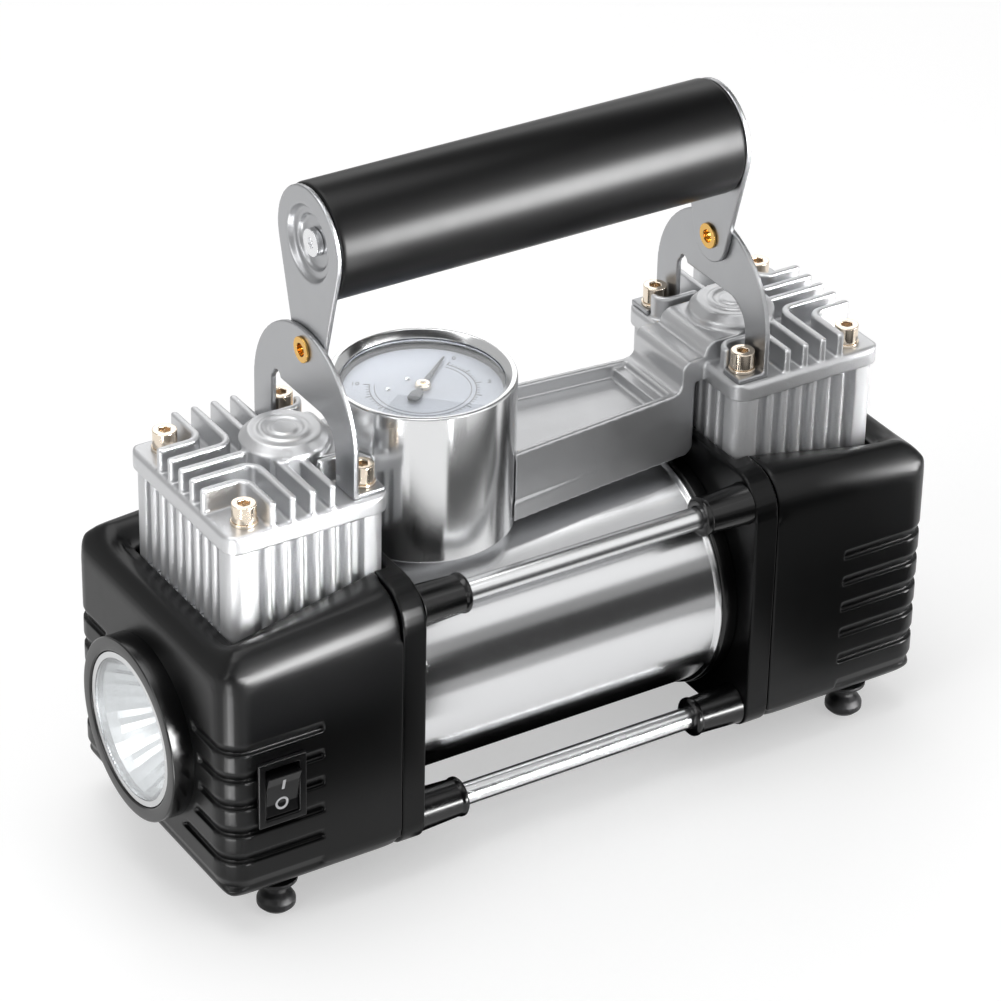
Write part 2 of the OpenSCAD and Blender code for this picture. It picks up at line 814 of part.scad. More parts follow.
// Low wall that stands behind an inner screw and runs on past the bracket's leg
module screw_wall() {
    r = wall_bend_r;
    x_bend = wall_foot_x + r;
    along_z(head_top - eps, fin_top) {
        polygon(concat(arc([x_bend, wall_y + r], r + wall_half, 180, 270),
                       [[wall_end_x, wall_y - wall_half], [wall_end_x, wall_y + wall_half]],
                       arc([x_bend, wall_y + r], r - wall_half, 270, 180)));
        translate([wall_foot_x, wall_y + r]) circle(r = wall_half);
        translate([wall_end_x, wall_y]) circle(r = wall_half);
    }
}
module boss() {
    ring_h = 0.5;
    chamfer = 2.3;
    translate([boss_x, 0, head_top - eps])
        rotate_extrude()
            polygon([[0, 0], [boss_r, 0], [boss_r, boss_h - chamfer], [boss_r - chamfer, boss_h],
                     [7.5, boss_h], [7, boss_h + ring_h], [5.8, boss_h + ring_h], [5.3, boss_h],
                     [4, boss_h], [3.5, boss_h + ring_h], [0, boss_h + ring_h]]);
}
// The raised passage from the boss to the inner edge
module raised_passage() {
    r = 4;
    x0 = head_inner + 0.5;
    along_y(-duct_narrow, duct_narrow)
        polygon(concat([[boss_x, head_top - eps], [boss_x, fin_top - 1]],
                       arc([x0 + r, fin_top - 1 - r], r, 90, 180), [[x0, head_top - eps]]));
}
module duct_side() {
    r = 3;
    bridge_z = head_top + 2;
    along_y(-duct_wide - past, duct_wide + past)
        polygon(concat([[-gauge_x, duct_low_z]],
                       arc([duct_end - r, duct_low_z + r], r, 270, 360, 4),
                       [[duct_end, head_z], [head_inner + 2, head_z], [head_inner + 2, bridge_z]],
                       arc([drop_x + 1 + r, bridge_z - r], r, 90, 180, 4),
                       arc([drop_x - 2, duct_rim_z + 3], 3, 0, -90, 4),
                       [[-gauge_x, duct_rim_z]]));
}
function duct_plan(inset) = [[-gauge_x, inset - duct_wide], [head_inner + 2, inset - duct_narrow],
                             [head_inner + 2, duct_narrow - inset], [-gauge_x, duct_wide - inset]];
// Half width of the duct at a distance from the gauge's middle
function duct_side_y(x) = duct_wide - (duct_wide - duct_narrow) * x / (head_inner + 2 + gauge_x);
module duct_tray_cut(depth, x_end) {
    intersection() {
        along_z(duct_rim_z - depth, head_top + 10) polygon(duct_plan(duct_lip));
        box([-head_inner, -duct_wide, 0], [x_end, duct_wide, head_top + 10]);
    }
}
// Flange along the foot of the duct's side, which fades out towards the head
module duct_flange() {
    reach = (duct_end + gauge_x) * 0.62;
    along_z(duct_low_z, duct_low_z + flange_h)
        polygon([[-gauge_x, 0], [-gauge_x, duct_wide + flange_proud], [reach - gauge_x, duct_side_y(reach)],
                 [reach - gauge_x, 0]]);
}
module air_duct(gauge_at) {
    difference() {
        union() {
            intersection() {
                duct_side();
                along_z(duct_low_z - past, head_top + 10) polygon(duct_plan(0));
            }
            if (gauge_at < 0)
                for (side = SIDES)
                    mirror([0, side < 0 ? 1 : 0, 0]) duct_flange();
        }
        duct_tray_cut(duct_tray, drop_x - 3 - ledge_len);
        duct_tray_cut(ledge_depth, drop_x - 3);
        box([-head_inner, -duct_wide - 2 * past, 0], [gauge_at, duct_wide + 2 * past, head_top + 10]);
    }
}
module head(end) {
    gauge_at = end * -gauge_x;
    at_end(end)
        difference() {
            union() {
                head_plate();
                for (side = SIDES)
                    mirror([0, side < 0 ? 1 : 0, 0]) {
                        straight_fin(fin_xs[0]);
                        straight_fin(fin_xs[1]);
                        bent_fin(fin_xs[2], fin_pitch);
                        bent_fin(fin_xs[3], 2 * fin_pitch);
                        screw_wall();
                    }
                middle_fin();
                boss();
                raised_passage();
                air_duct(gauge_at);
            }
            rod_z(gauge_low_z - past, gauge_top_z, gauge_room_r, gauge_at);
            head_screw_holes(head_z - past, head_top + past);
            rod_z(head_z - past, head_top + boss_h - 4, boss_r - 4, boss_x);
            if (end == REAR) {
                rod_x(riser_x, boss_x, passage_r, 0, front_passage_z);
                rod_z(rear_passage_z, front_passage_z, riser_r, riser_x);
                rod_x(gauge_at, riser_x, passage_r, 0, rear_passage_z);
            }
            if (end == FRONT)
                rod_x(head_inner - past, boss_x, passage_r, 0, front_passage_z);
        }
}
module front_head() {
    color("#cbcdd0") head(FRONT);
}
module rear_head() {
    color("#cbcdd0") head(REAR);
}
module each_screw() {
    for (end = ENDS, k = [0, 1], sy = SIDES)
        at_end(end)
            translate([k == 0 ? screw_out : screw_in, sy * screw_y, screw_seat[k]])
                children();
}
module head_screws() {
    color("#c9b49a") each_screw()
        difference() {
            union() {
                rod_z(-screw_depth - head_t, washer_t + 2 * eps, screw_r);
                rod_z(washer_t + eps, washer_t + screw_head_h, screw_head_r);
            }
            translate([0, 0, washer_t + screw_head_h - 3]) cylinder(h = 4, r = 1.8, $fn = 6);
        }
}
module head_washers() {
    color("#d3d0c8") each_screw()
        difference() {
            rod_z(eps, washer_t, washer_r);
            rod_z(-past, 2 * washer_t, screw_r + seat);
        }
}

// Cranks and pistons
module crank(end) {
    k = end == FRONT ? 0 : 1;
    up = end == FRONT ? 1 : -1;
    at_end(end)
        difference() {
            union() {
                rod_x(crank_in, crank_out, crank_hub_r, 0, shaft_z);
                intersection() {
                    rod_x(crank_in + 1, crank_out, crank_disc_r, 0, shaft_z);
                    box([crank_in, -crank_disc_r, up > 0 ? shaft_z - crank_disc_r : shaft_z - 2],
                        [crank_out, crank_disc_r, up > 0 ? shaft_z + 2 : shaft_z + crank_disc_r]);
                }
                rod_x(crank_out - 4, conrod_in - crank_gap, crank_pin_r + 2, 0, rod_pin_z[k]);
                box([crank_in + 1, -6, min(shaft_z, rod_pin_z[k])],
                    [crank_out, 6, max(shaft_z, rod_pin_z[k])]);
            }
            rod_x(crank_in - past, crank_out + 0.1, shaft_r, 0, shaft_z);
        }
}
module front_crank() {
    color("#7f8286") crank(FRONT);
}
module rear_crank() {
    color("#7f8286") crank(REAR);
}
module piston(end) {
    k = end == FRONT ? 0 : 1;
    top = piston_top - (end == FRONT ? 0 : 2 * throw);
    beam_z = rod_pin_z[k] + rod_bearing_r;
    at_end(end) translate([head_x, 0, 0])
        difference() {
            union() {
                rod_z(top - piston_h, top - 0.8, bore_r - piston_clear);
                rod_z(top - 0.9, top, bore_r - 4);
                box([-3, -4.5, beam_z], [3, 4.5, top - piston_h + eps]);
                rod_x(-conrod_w / 2, conrod_w / 2, rod_bearing_r + 3, 0, rod_pin_z[k]);
            }
            rod_x(-conrod_w, conrod_w, rod_bearing_r, 0, rod_pin_z[k]);
        }
}
module front_piston() {
    color("#adb0b3") piston(FRONT);
}
module rear_piston() {
    color("#adb0b3") piston(REAR);
}
module cup_seal(end) {
    top = piston_top - (end == FRONT ? 0 : 2 * throw);
    at_end(end) translate([head_x, 0, 0])
        difference() {
            rod_z(top - 0.8, top, bore_r - run_fit);
            rod_z(top - 2, top + past, bore_r - 4);
        }
}
module front_cup_seal() {
    color("#1f1f20") cup_seal(FRONT);
}
module rear_cup_seal() {
    color("#1f1f20") cup_seal(REAR);
}
module rod_bearing(end) {
    k = end == FRONT ? 0 : 1;
    at_end(end) translate([head_x, 0, 0])
        difference() {
            rod_x(0.5 - conrod_w / 2, conrod_w / 2 - 0.5, rod_bearing_r, 0, rod_pin_z[k]);
            rod_x(-conrod_w, conrod_w, crank_pin_r + run_fit, 0, rod_pin_z[k]);
        }
}
module front_rod_bearing() {
    color("#9a9da1") rod_bearing(FRONT);
}
module rear_rod_bearing() {
    color("#9a9da1") rod_bearing(REAR);
}

// Folding handle
module bracket_outline() {
    open_top = head_top + bracket_open;
    r = 9;
    slot_r = 1.7;
    difference() {
        polygon(concat([[bracket_half, bracket_base]], arc([0, arch_z], bracket_half, 0, 180, 32),
                       [[-bracket_half, bracket_base]]));
        polygon(concat([[bracket_open_half, bracket_base - past]],
                       arc([bracket_open_half - 2, open_top - 2], 2, 0, 90, 3),
                       arc([r - bracket_open_half, open_top - r], r, 90, 180),
                       [[-bracket_open_half, bracket_base - past]]));
        translate([bracket_open_half - 3, open_top]) circle(r = slot_r);
        translate([0, pivot_z]) circle(r = eyelet_r + seat);
    }
}
module bracket(end) {
    at_end(end) {
        along_x(bracket_in, bracket_out) bracket_outline();
        for (side = SIDES)
            bracket_foot(side);
    }
}
// Foot that turns inwards and lies under a head screw, with its corner cut away round the low wall
module bracket_foot(side) {
    y_wall = wall_y + wall_bend_r + wall_half + 2 * seat;
    mirror([0, side < 0 ? 1 : 0, 0])
        difference() {
            union() {
                box([screw_in - 4.5, y_wall, bracket_base],
                    [bracket_in, bracket_half, bracket_base + sheet_t]);
                box([wall_foot_x + wall_half + 2 * seat, bracket_open_half, bracket_base],
                    [bracket_in + eps, bracket_half, bracket_base + sheet_t]);
            }
            rod_z(head_top, bracket_base + 2 * sheet_t, screw_r + seat, screw_in, screw_y);
        }
}
module front_bracket() {
    color("#b4b6b9") bracket(FRONT);
}
module rear_bracket() {
    color("#b4b6b9") bracket(REAR);
}
module pivot_eyelets() {
    lip = 0.7;
    hole_r = eyelet_r - 0.8;
    color("#c99a3a")
        for (end = ENDS)
            at_end(end) translate([0, 0, pivot_z])
                difference() {
                    union() {
                        rod_x(arm_in - seat - lip, bracket_out + seat + lip, eyelet_r);
                        rod_x(arm_in - seat - lip, arm_in - seat, eyelet_flange_r);
                        rod_x(bracket_out + seat, bracket_out + seat + lip, eyelet_flange_r);
                    }
                    rod_x(arm_in - 2, bracket_out + 2, hole_r);
                }
}
// Outline round the grip's end disc and the narrow lower end
function arm_outline() =
    let (big = grip_r - 0.3, small = arm_end_r, tilt = asin((big - small) / handle_rise))
    concat(arc([0, grip_z], big, -tilt, 180 + tilt, 24),
           arc([0, pivot_z], small, 180 + tilt, 360 - tilt, 14));
// Section through the dish and its deeper middle, as radius and depth
function dish_section() =
    [[0, dish_depth], [0, dish_depth + dish_sheet],
     [dish_step_r + 0.8, dish_depth + dish_sheet], [dish_step_r + 1.6, dish_ledge + dish_sheet],
     [dish_r - 0.8, dish_ledge + dish_sheet], [dish_r - 0.2, sheet_t], [dish_r + 0.3, sheet_t],
     [dish_r, 0], [dish_r - 0.8, 0], [dish_r - 2, dish_ledge], [dish_step_r + 0.8, dish_ledge],
     [dish_step_r, dish_depth]];
module arm(end) {
    at_end(end)
        difference() {
            union() {
                difference() {
                    along_x(arm_in, arm_out) polygon(arm_outline());
                    rod_x(arm_in - past, arm_out + past, dish_r - 0.5, 0, grip_z);
                }
                translate([arm_out, 0, grip_z]) rotate([0, -90, 0])
                    rotate_extrude() polygon(dish_section());
            }
            rod_x(arm_in - past, arm_out + past, eyelet_r + run_fit, 0, pivot_z);
            rod_x(arm_in - dish_depth - 3, arm_out + past, 2.1, 0, grip_z);
        }
}
module front_arm() {
    color("#bdbfc2") arm(FRONT);
}
module rear_arm() {
    color("#bdbfc2") arm(REAR);
}
module handle_grip() {
    color("#111214") translate([mid_x, 0, grip_z])
        difference() {
            rod_x(-grip_end, grip_end, grip_r);
            rod_x(-grip_end - past, grip_end + past, grip_r - grip_wall);
        }
}
module handle_plugs() {
    color("#3a3b3d")
        for (end = ENDS)
            at_end(end) difference() {
                rod_x(plug_out - plug_len, plug_out, grip_r - grip_wall - seat, 0, grip_z);
                rod_x(plug_out - plug_len - past, plug_out + past, screw_r + seat, 0, grip_z);
            }
}
module handle_screws() {
    color("#c5c7ca")
        for (end = ENDS)
            at_end(end) difference() {
                union() {
                    rod_x(plug_out - plug_len, dish_floor + 2 * seat, screw_r, 0, grip_z);
                    rod_x(dish_floor + seat, dish_floor + seat + 2, 2 * screw_r, 0, grip_z);
                }
                translate([dish_floor + 1, 0, grip_z]) rotate([0, 90, 0]) cylinder(h = 3, r = 1.6, $fn = 6);
            }
}

// Gauge and air block
module at_gauge() {
    translate([mid_x - gauge_x, 0, 0]) children();
}
module gauge_shell() {
    lip = 1.6;
    color("#d5d6d8") at_gauge()
        difference() {
            rotate_extrude()
                polygon([[0, gauge_low_z], [gauge_r, gauge_low_z], [gauge_r, gauge_top_z - 0.5],
                         [gauge_r - 0.5, gauge_top_z], [gauge_r - lip, gauge_top_z],
                         [gauge_r - gauge_wall - 1.2, gauge_top_z - 2],
                         [gauge_r - gauge_wall - 1.2, gauge_top_z - 2.4],
                         [gauge_r - gauge_wall, gauge_top_z - 2.4],
                         [gauge_r - gauge_wall, gauge_low_z + gauge_floor], [0, gauge_low_z + gauge_floor]]);
            rod_x(0, gauge_r + past, passage_r + 2 + seat, 0, rear_passage_z);
            rod_x(-gauge_r - past, 0, passage_r + 1 + seat, 0, front_passage_z);
            rod_y(0, gauge_r + past, outlet_r + seat, 0, outlet_z);
        }
}
module gauge_bezel() {
    outer = gauge_r - gauge_wall - seat;
    top = gauge_top_z - 2.5;
    ledge = glass_z - seat;
    color("#26272a") at_gauge()
        rotate_extrude()
            polygon([[dial_r + seat, dial_z], [outer, dial_z], [outer, top], [outer - 1.3, top],
                     [outer - 1.8, ledge], [dial_r + seat, ledge]]);
}
module gauge_glass() {
    color([0.8, 0.9, 0.95, 0.35]) at_gauge()
        rod_z(glass_z, glass_z + glass_t, glass_r);
}
module gauge_dial() {
    color("#dfe4ee") at_gauge()
        difference() {
            rod_z(dial_z, dial_z + dial_t, dial_r);
            rod_z(dial_z - past, dial_z + 2, needle_post_r + 0.4);
        }
}
module gauge_movement() {
    post_top = dial_z + dial_t + 1.5;
    color("#b08d4a") at_gauge() {
        rod_z(dial_z - seat - movement_h, dial_z - seat, movement_r);
        rod_z(dial_z - 1, post_top, needle_post_r);
    }
}
module gauge_needle() {
    z0 = dial_z + dial_t + 0.4;
    tail = 9;
    color("#5a5c62") at_gauge()
        difference() {
            union() {
                rod_z(z0, z0 + 1.5, 2.3);
                rotate([0, 0, needle_angle])
                    along_z(z0 + 0.3, z0 + 1)
                        polygon([[needle_len, 0.25], [2, 0.9], [4 - tail, 0.8], [3 - tail, 1.6], [-tail, 1.6],
                                 [-tail, -1.6], [3 - tail, -1.6], [4 - tail, -0.8], [2, -0.9],
                                 [needle_len, -0.25]]);
            }
            rod_z(z0 - past, z0 + 1.3, needle_post_r + run_fit);
        }
}
module air_block() {
    lug_r = gauge_r - gauge_wall - 2 * seat;
    lug_half = 7;
    nipple_end = gauge_r - 0.3;
    neck = passage_r + 2;
    block_low = gauge_low_z + gauge_floor + seat;
    color("#b9bbbe") at_gauge()
        difference() {
            union() {
                rod_z(block_low, air_block_top, air_block_r);
                rod_x(air_block_r - 2, nipple_end, neck, 0, rear_passage_z);
                intersection() {
                    rod_z(block_low, front_passage_z + 5, lug_r);
                    union() {
                        box([-lug_r, -lug_half, block_low],
                            [-movement_r - 0.5, lug_half, front_passage_z + 5]);
                        box([-lug_r, -lug_half, block_low], [3 - air_block_r, lug_half, air_block_top]);
                    }
                }
                rod_x(-nipple_end, -movement_r - 1, passage_r + 1, 0, front_passage_z);
            }
            rod_x(-air_block_r + 3, gauge_r + past, passage_r, 0, rear_passage_z);
            rod_x(-gauge_r - past, -air_block_r - 1, passage_r, 0, front_passage_z);
            rod_z(rear_passage_z, front_passage_z, 1.2, -air_block_r - 1.6);
            rod_x(-air_block_r - 1.6, 0, 1.2, 0, rear_passage_z);
            rod_y(0, air_block_r + past, passage_r, 0, outlet_z);
            rod_y(air_block_r - 8, air_block_r + past, outlet_r + seat - 1, 0, outlet_z);
        }
}
// Outlet for the hose: a hexagon and a round spigot on the far side of the gauge
module hose_outlet() {
    hex_t = 4;
    y1 = outlet_reach - outlet_len - hex_t;
    color("#c2a25a") at_gauge()
        difference() {
            union() {
                rod_y(air_block_r - 7, y1 + 1, outlet_r - 1, 0, outlet_z);
                translate([0, y1 + hex_t, outlet_z]) rotate([90, 0, 0])
                    cylinder(h = hex_t, r = outlet_r + 2.4, $fn = 6);
                rod_y(y1 + hex_t - eps, outlet_reach, outlet_r, 0, outlet_z);
            }
            rod_y(air_block_r - 8, outlet_reach + past, passage_r, 0, outlet_z);
        }
}

// Lamp
module lamp_bezel() {
    x0 = half_len - back_wall;
    flange = half_len - x0 + seat;
    front = half_len - x0 + lamp_proud;
    neck_r = lens_r + 2 - seat;
    color("#141517") at_end(FRONT)
        translate([x0, 0, lamp_z]) rotate([0, 90, 0]) rotate_extrude()
            polygon([[lens_r - 1, 0.2], [neck_r, 0.2], [neck_r, flange], [lamp_r, flange],
                     [lamp_r, front - 1], [lamp_r - 0.8, front], [lens_r + 0.9, front],
                     [lens_r + seat, front - 1.4], [lens_r + seat, front - 3.5], [lens_r - 1, front - 4]]);
}
module lamp_lens() {
    x0 = half_len + lamp_proud - 3.4;
    color([0.9, 0.93, 0.96, 0.3]) at_end(FRONT)
        translate([x0, 0, lamp_z]) rotate([0, 90, 0]) rotate_extrude()
            polygon([[0, 0], [lens_r, 0], [lens_r, 1.2], [lens_r * 0.7, 1.8], [lens_r * 0.35, 2.1],
                     [0, 2.2]]);
}
module lamp_reflector() {
    r = lens_r - 1.2;
    t = 0.8;
    neck = 4;
    steps = 8;
    inner = [for (k = [0:steps]) [neck + (r - neck) * k / steps, lamp_depth * (pow(k / steps, 2) - 1)]];
    outer = [for (k = [steps:-1:0])
        [neck + t + (r - neck - t) * k / steps, lamp_depth * (pow(k / steps, 2) - 1) - t]];
    color("#e3e4e6") at_end(FRONT)
        translate([lamp_back, 0, lamp_z]) rotate([0, 90, 0]) rotate_extrude()
            polygon(concat(inner, outer));
}
module lamp_board() {
    x1 = lamp_back - lamp_depth - 0.8 - seat;
    color("#d8dc9a") at_end(FRONT) {
        rod_x(x1 - 1.6, x1, lamp_board_r, 0, lamp_z);
        rod_x(x1 - eps, x1 + 2.6, 2.5, 0, lamp_z);
    }
}

// Rocker switch
module switch_frame() {
    lip = 1.4;
    depth = 9;
    color("#1c1d1f") at_end(FRONT)
        translate([switch_x, 0, switch_z])
            difference() {
                union() {
                    box([-switch_len / 2, -half_w - lip, -switch_h / 2],
                        [switch_len / 2, -half_w - seat, switch_h / 2]);
                    box([1 + seat - switch_len / 2, -half_w - seat - eps, 1 + seat - switch_h / 2],
                        [switch_len / 2 - 1 - seat, depth - half_w, switch_h / 2 - 1 - seat]);
                }
                box([2.2 - switch_len / 2, -half_w - 2 * lip, 2.2 - switch_h / 2],
                    [switch_len / 2 - 2.2, 7 - half_w, switch_h / 2 - 2.2]);
                rod_x(-switch_len / 2, switch_len / 2, trunnion_r + run_fit, rocker_y);
            }
}
module rocker_outline(half_z) {
    hollow = 0.9;
    polygon([[-rocker_out, -half_z], [hollow - rocker_out, -half_z / 2], [hollow - rocker_out, half_z / 2],
             [-rocker_out, half_z], [1, half_z - 2], [2.4, 2], [2.4, -2], [1, 2 - half_z]]);
}
module switch_rocker() {
    half_x = switch_len / 2 - 2.4;
    color("#222326") at_end(FRONT)
        translate([switch_x, rocker_y, switch_z])
            rotate([rocker_tilt, 0, 0])
                union() {
                    along_x(-half_x, half_x) rocker_outline(rocker_half_z);
                    rod_x(-half_x - trunnion_len, half_x + trunnion_len, trunnion_r);
                }
}

// Feet
module feet() {
    neck_r = foot_r - 2.6;
    hole_r = neck_r - 0.2;
    collar_r = foot_r + 0.6;
    top = ground_gap - seat;
    flange = 1.2;
    barb_z = ground_gap + wall + 0.5;
    color("#0e0e10")
        for (end = ENDS, side = SIDES)
            translate([mid_x + end * foot_x, side * foot_y, 0]) {
                rotate_extrude()
                    polygon([[0, 0], [foot_r - 1.6, 0], [foot_r, 1.6], [foot_r, 3.4], [foot_r - 1, 5],
                             [neck_r, 6.4], [neck_r, top - flange - 0.9], [collar_r, top - flange],
                             [collar_r, top], [hole_r, top], [hole_r, barb_z], [hole_r + 0.9, barb_z],
                             [hole_r - 0.2, barb_z + 2.5], [0, barb_z + 2.5]]);
                box([neck_r - 1, -2.6, top - flange], [foot_r + 5.5, 2.6, top - 0.1]);
            }
}

// Gland for the cord, on the far side above the motor
module cord_gland() {
    color("#0f0f11") at_end(FRONT)
        translate([0, gland_y, shaft_z + gland_rise])
            difference() {
                union() {
                    cone_x(plate_in - gland_len, plate_in - seat, cord_r + 1.2, cord_r + 2.4);
                    rod_x(plate_in - seat - eps, plate_out - seat, cord_r + 1.4);
                }
                rod_x(plate_in - gland_len - past, plate_out + past, cord_r);
            }
}

front_housing();
rear_housing();
front_end_plate();
rear_end_plate();
motor_can();
motor_end_ring();
field_magnets();
armature_core();
armature_windings();
commutator();
motor_shaft();
shaft_bearings();
brush_plate();
brushes();
front_crankcase();
rear_crankcase();
front_cylinder();
rear_cylinder();
valve_plates();
head_gaskets();
valve_reeds();
front_head();
rear_head();
head_screws();
head_washers();
front_crank();
rear_crank();
front_piston();
rear_piston();
front_cup_seal();
rear_cup_seal();
front_rod_bearing();
rear_rod_bearing();
tie_rods();
tie_rod_sleeves();
front_bracket();
rear_bracket();
pivot_eyelets();
front_arm();
rear_arm();
handle_grip();
handle_plugs();
handle_screws();
gauge_shell();
gauge_movement();
gauge_dial();
gauge_needle();
gauge_bezel();
gauge_glass();
air_block();
hose_outlet();
lamp_bezel();
lamp_reflector();
lamp_lens();
lamp_board();
switch_frame();
switch_rocker();
feet();
cord_gland();
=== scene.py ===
"""Dressed model of a portable twin-cylinder air compressor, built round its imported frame.

Sizes in the classes are millimetres, and places come from the frame, where X runs along the motor
with the lamp at -X, -Y faces the switch side and Z is up. Every finished piece lies in metres.
"""
import logging
import math
from dataclasses import dataclass
from enum import Enum
from functools import partial
from typing import Callable, Sequence

import bmesh
import bpy
from mathutils import Matrix, Vector
from mathutils.bvhtree import BVHTree


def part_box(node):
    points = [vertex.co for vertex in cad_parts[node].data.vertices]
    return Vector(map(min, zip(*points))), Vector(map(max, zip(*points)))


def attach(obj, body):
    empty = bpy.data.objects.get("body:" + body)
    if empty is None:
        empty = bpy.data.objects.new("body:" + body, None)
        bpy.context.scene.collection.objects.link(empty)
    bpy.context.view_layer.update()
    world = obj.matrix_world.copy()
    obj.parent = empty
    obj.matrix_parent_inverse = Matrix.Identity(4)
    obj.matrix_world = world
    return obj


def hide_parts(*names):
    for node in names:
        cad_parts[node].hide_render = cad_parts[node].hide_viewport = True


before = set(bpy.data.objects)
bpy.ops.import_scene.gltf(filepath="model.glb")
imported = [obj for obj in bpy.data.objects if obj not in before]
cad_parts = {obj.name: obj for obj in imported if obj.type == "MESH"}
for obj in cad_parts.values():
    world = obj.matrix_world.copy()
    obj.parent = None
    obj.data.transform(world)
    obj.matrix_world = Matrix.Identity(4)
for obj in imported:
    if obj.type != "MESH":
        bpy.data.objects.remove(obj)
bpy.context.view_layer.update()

MM = 0.001
LATHE_BLUR = 0.75
QUARTER_TURN = 0.25
MOST_TRIANGLES = 125000
SMALL_PIECE_TRIANGLES = 50000
log = logging.getLogger("compressor")

Point = tuple[float, float]
Pair = tuple[float, float]
Colour = tuple[float, float, float]


class Axis(Enum):
    """Direction that a turned piece's own axis is aimed in."""

    X = (1.0, 0.0, 0.0)
    MINUS_X = (-1.0, 0.0, 0.0)
    Y = (0.0, 1.0, 0.0)
    Z = (0.0, 0.0, 1.0)


class Grain(Enum):
    """Kind of fine relief: stretch of its pattern along X, Y and Z, and how deep its pits are."""

    MOULDED = (1.0, 1.0, 1.0, 0.0)
    CAST = (1.0, 1.0, 1.0, 0.8)
    TURNED_X = (1.0, 0.03, 0.03, 0.0)
    TURNED_Z = (0.03, 0.03, 1.0, 0.0)
    BRUSHED_Z = (0.4, 1.0, 0.02, 0.0)


@dataclass(frozen=True)
class Finish:
    """Looks of one material slot, with colours linear and lengths in millimetres.

    The mottle and the smudge are how far colour and roughness wander over the surface, the polish is
    how much lighter the outer edges have been worn and also how much painted shade darkens the hollows,
    and turned is the axis that fine lathe marks run round, which draw every reflection out along it.
    """

    slot: str
    colour: Colour
    roughness: float
    metallic: float = 0.0
    coat: float = 0.0
    coat_roughness: float = 0.15
    grain: Grain = Grain.MOULDED
    grain_size: float = 0.5
    grain_depth: float = 0.01
    mottle: float = 0.06
    smudge: float = 0.06
    polish_and_shade: float = 0.0
    clear: float = 0.0
    ior: float = 1.5
    specular: float = 0.5
    turned: Axis | None = None


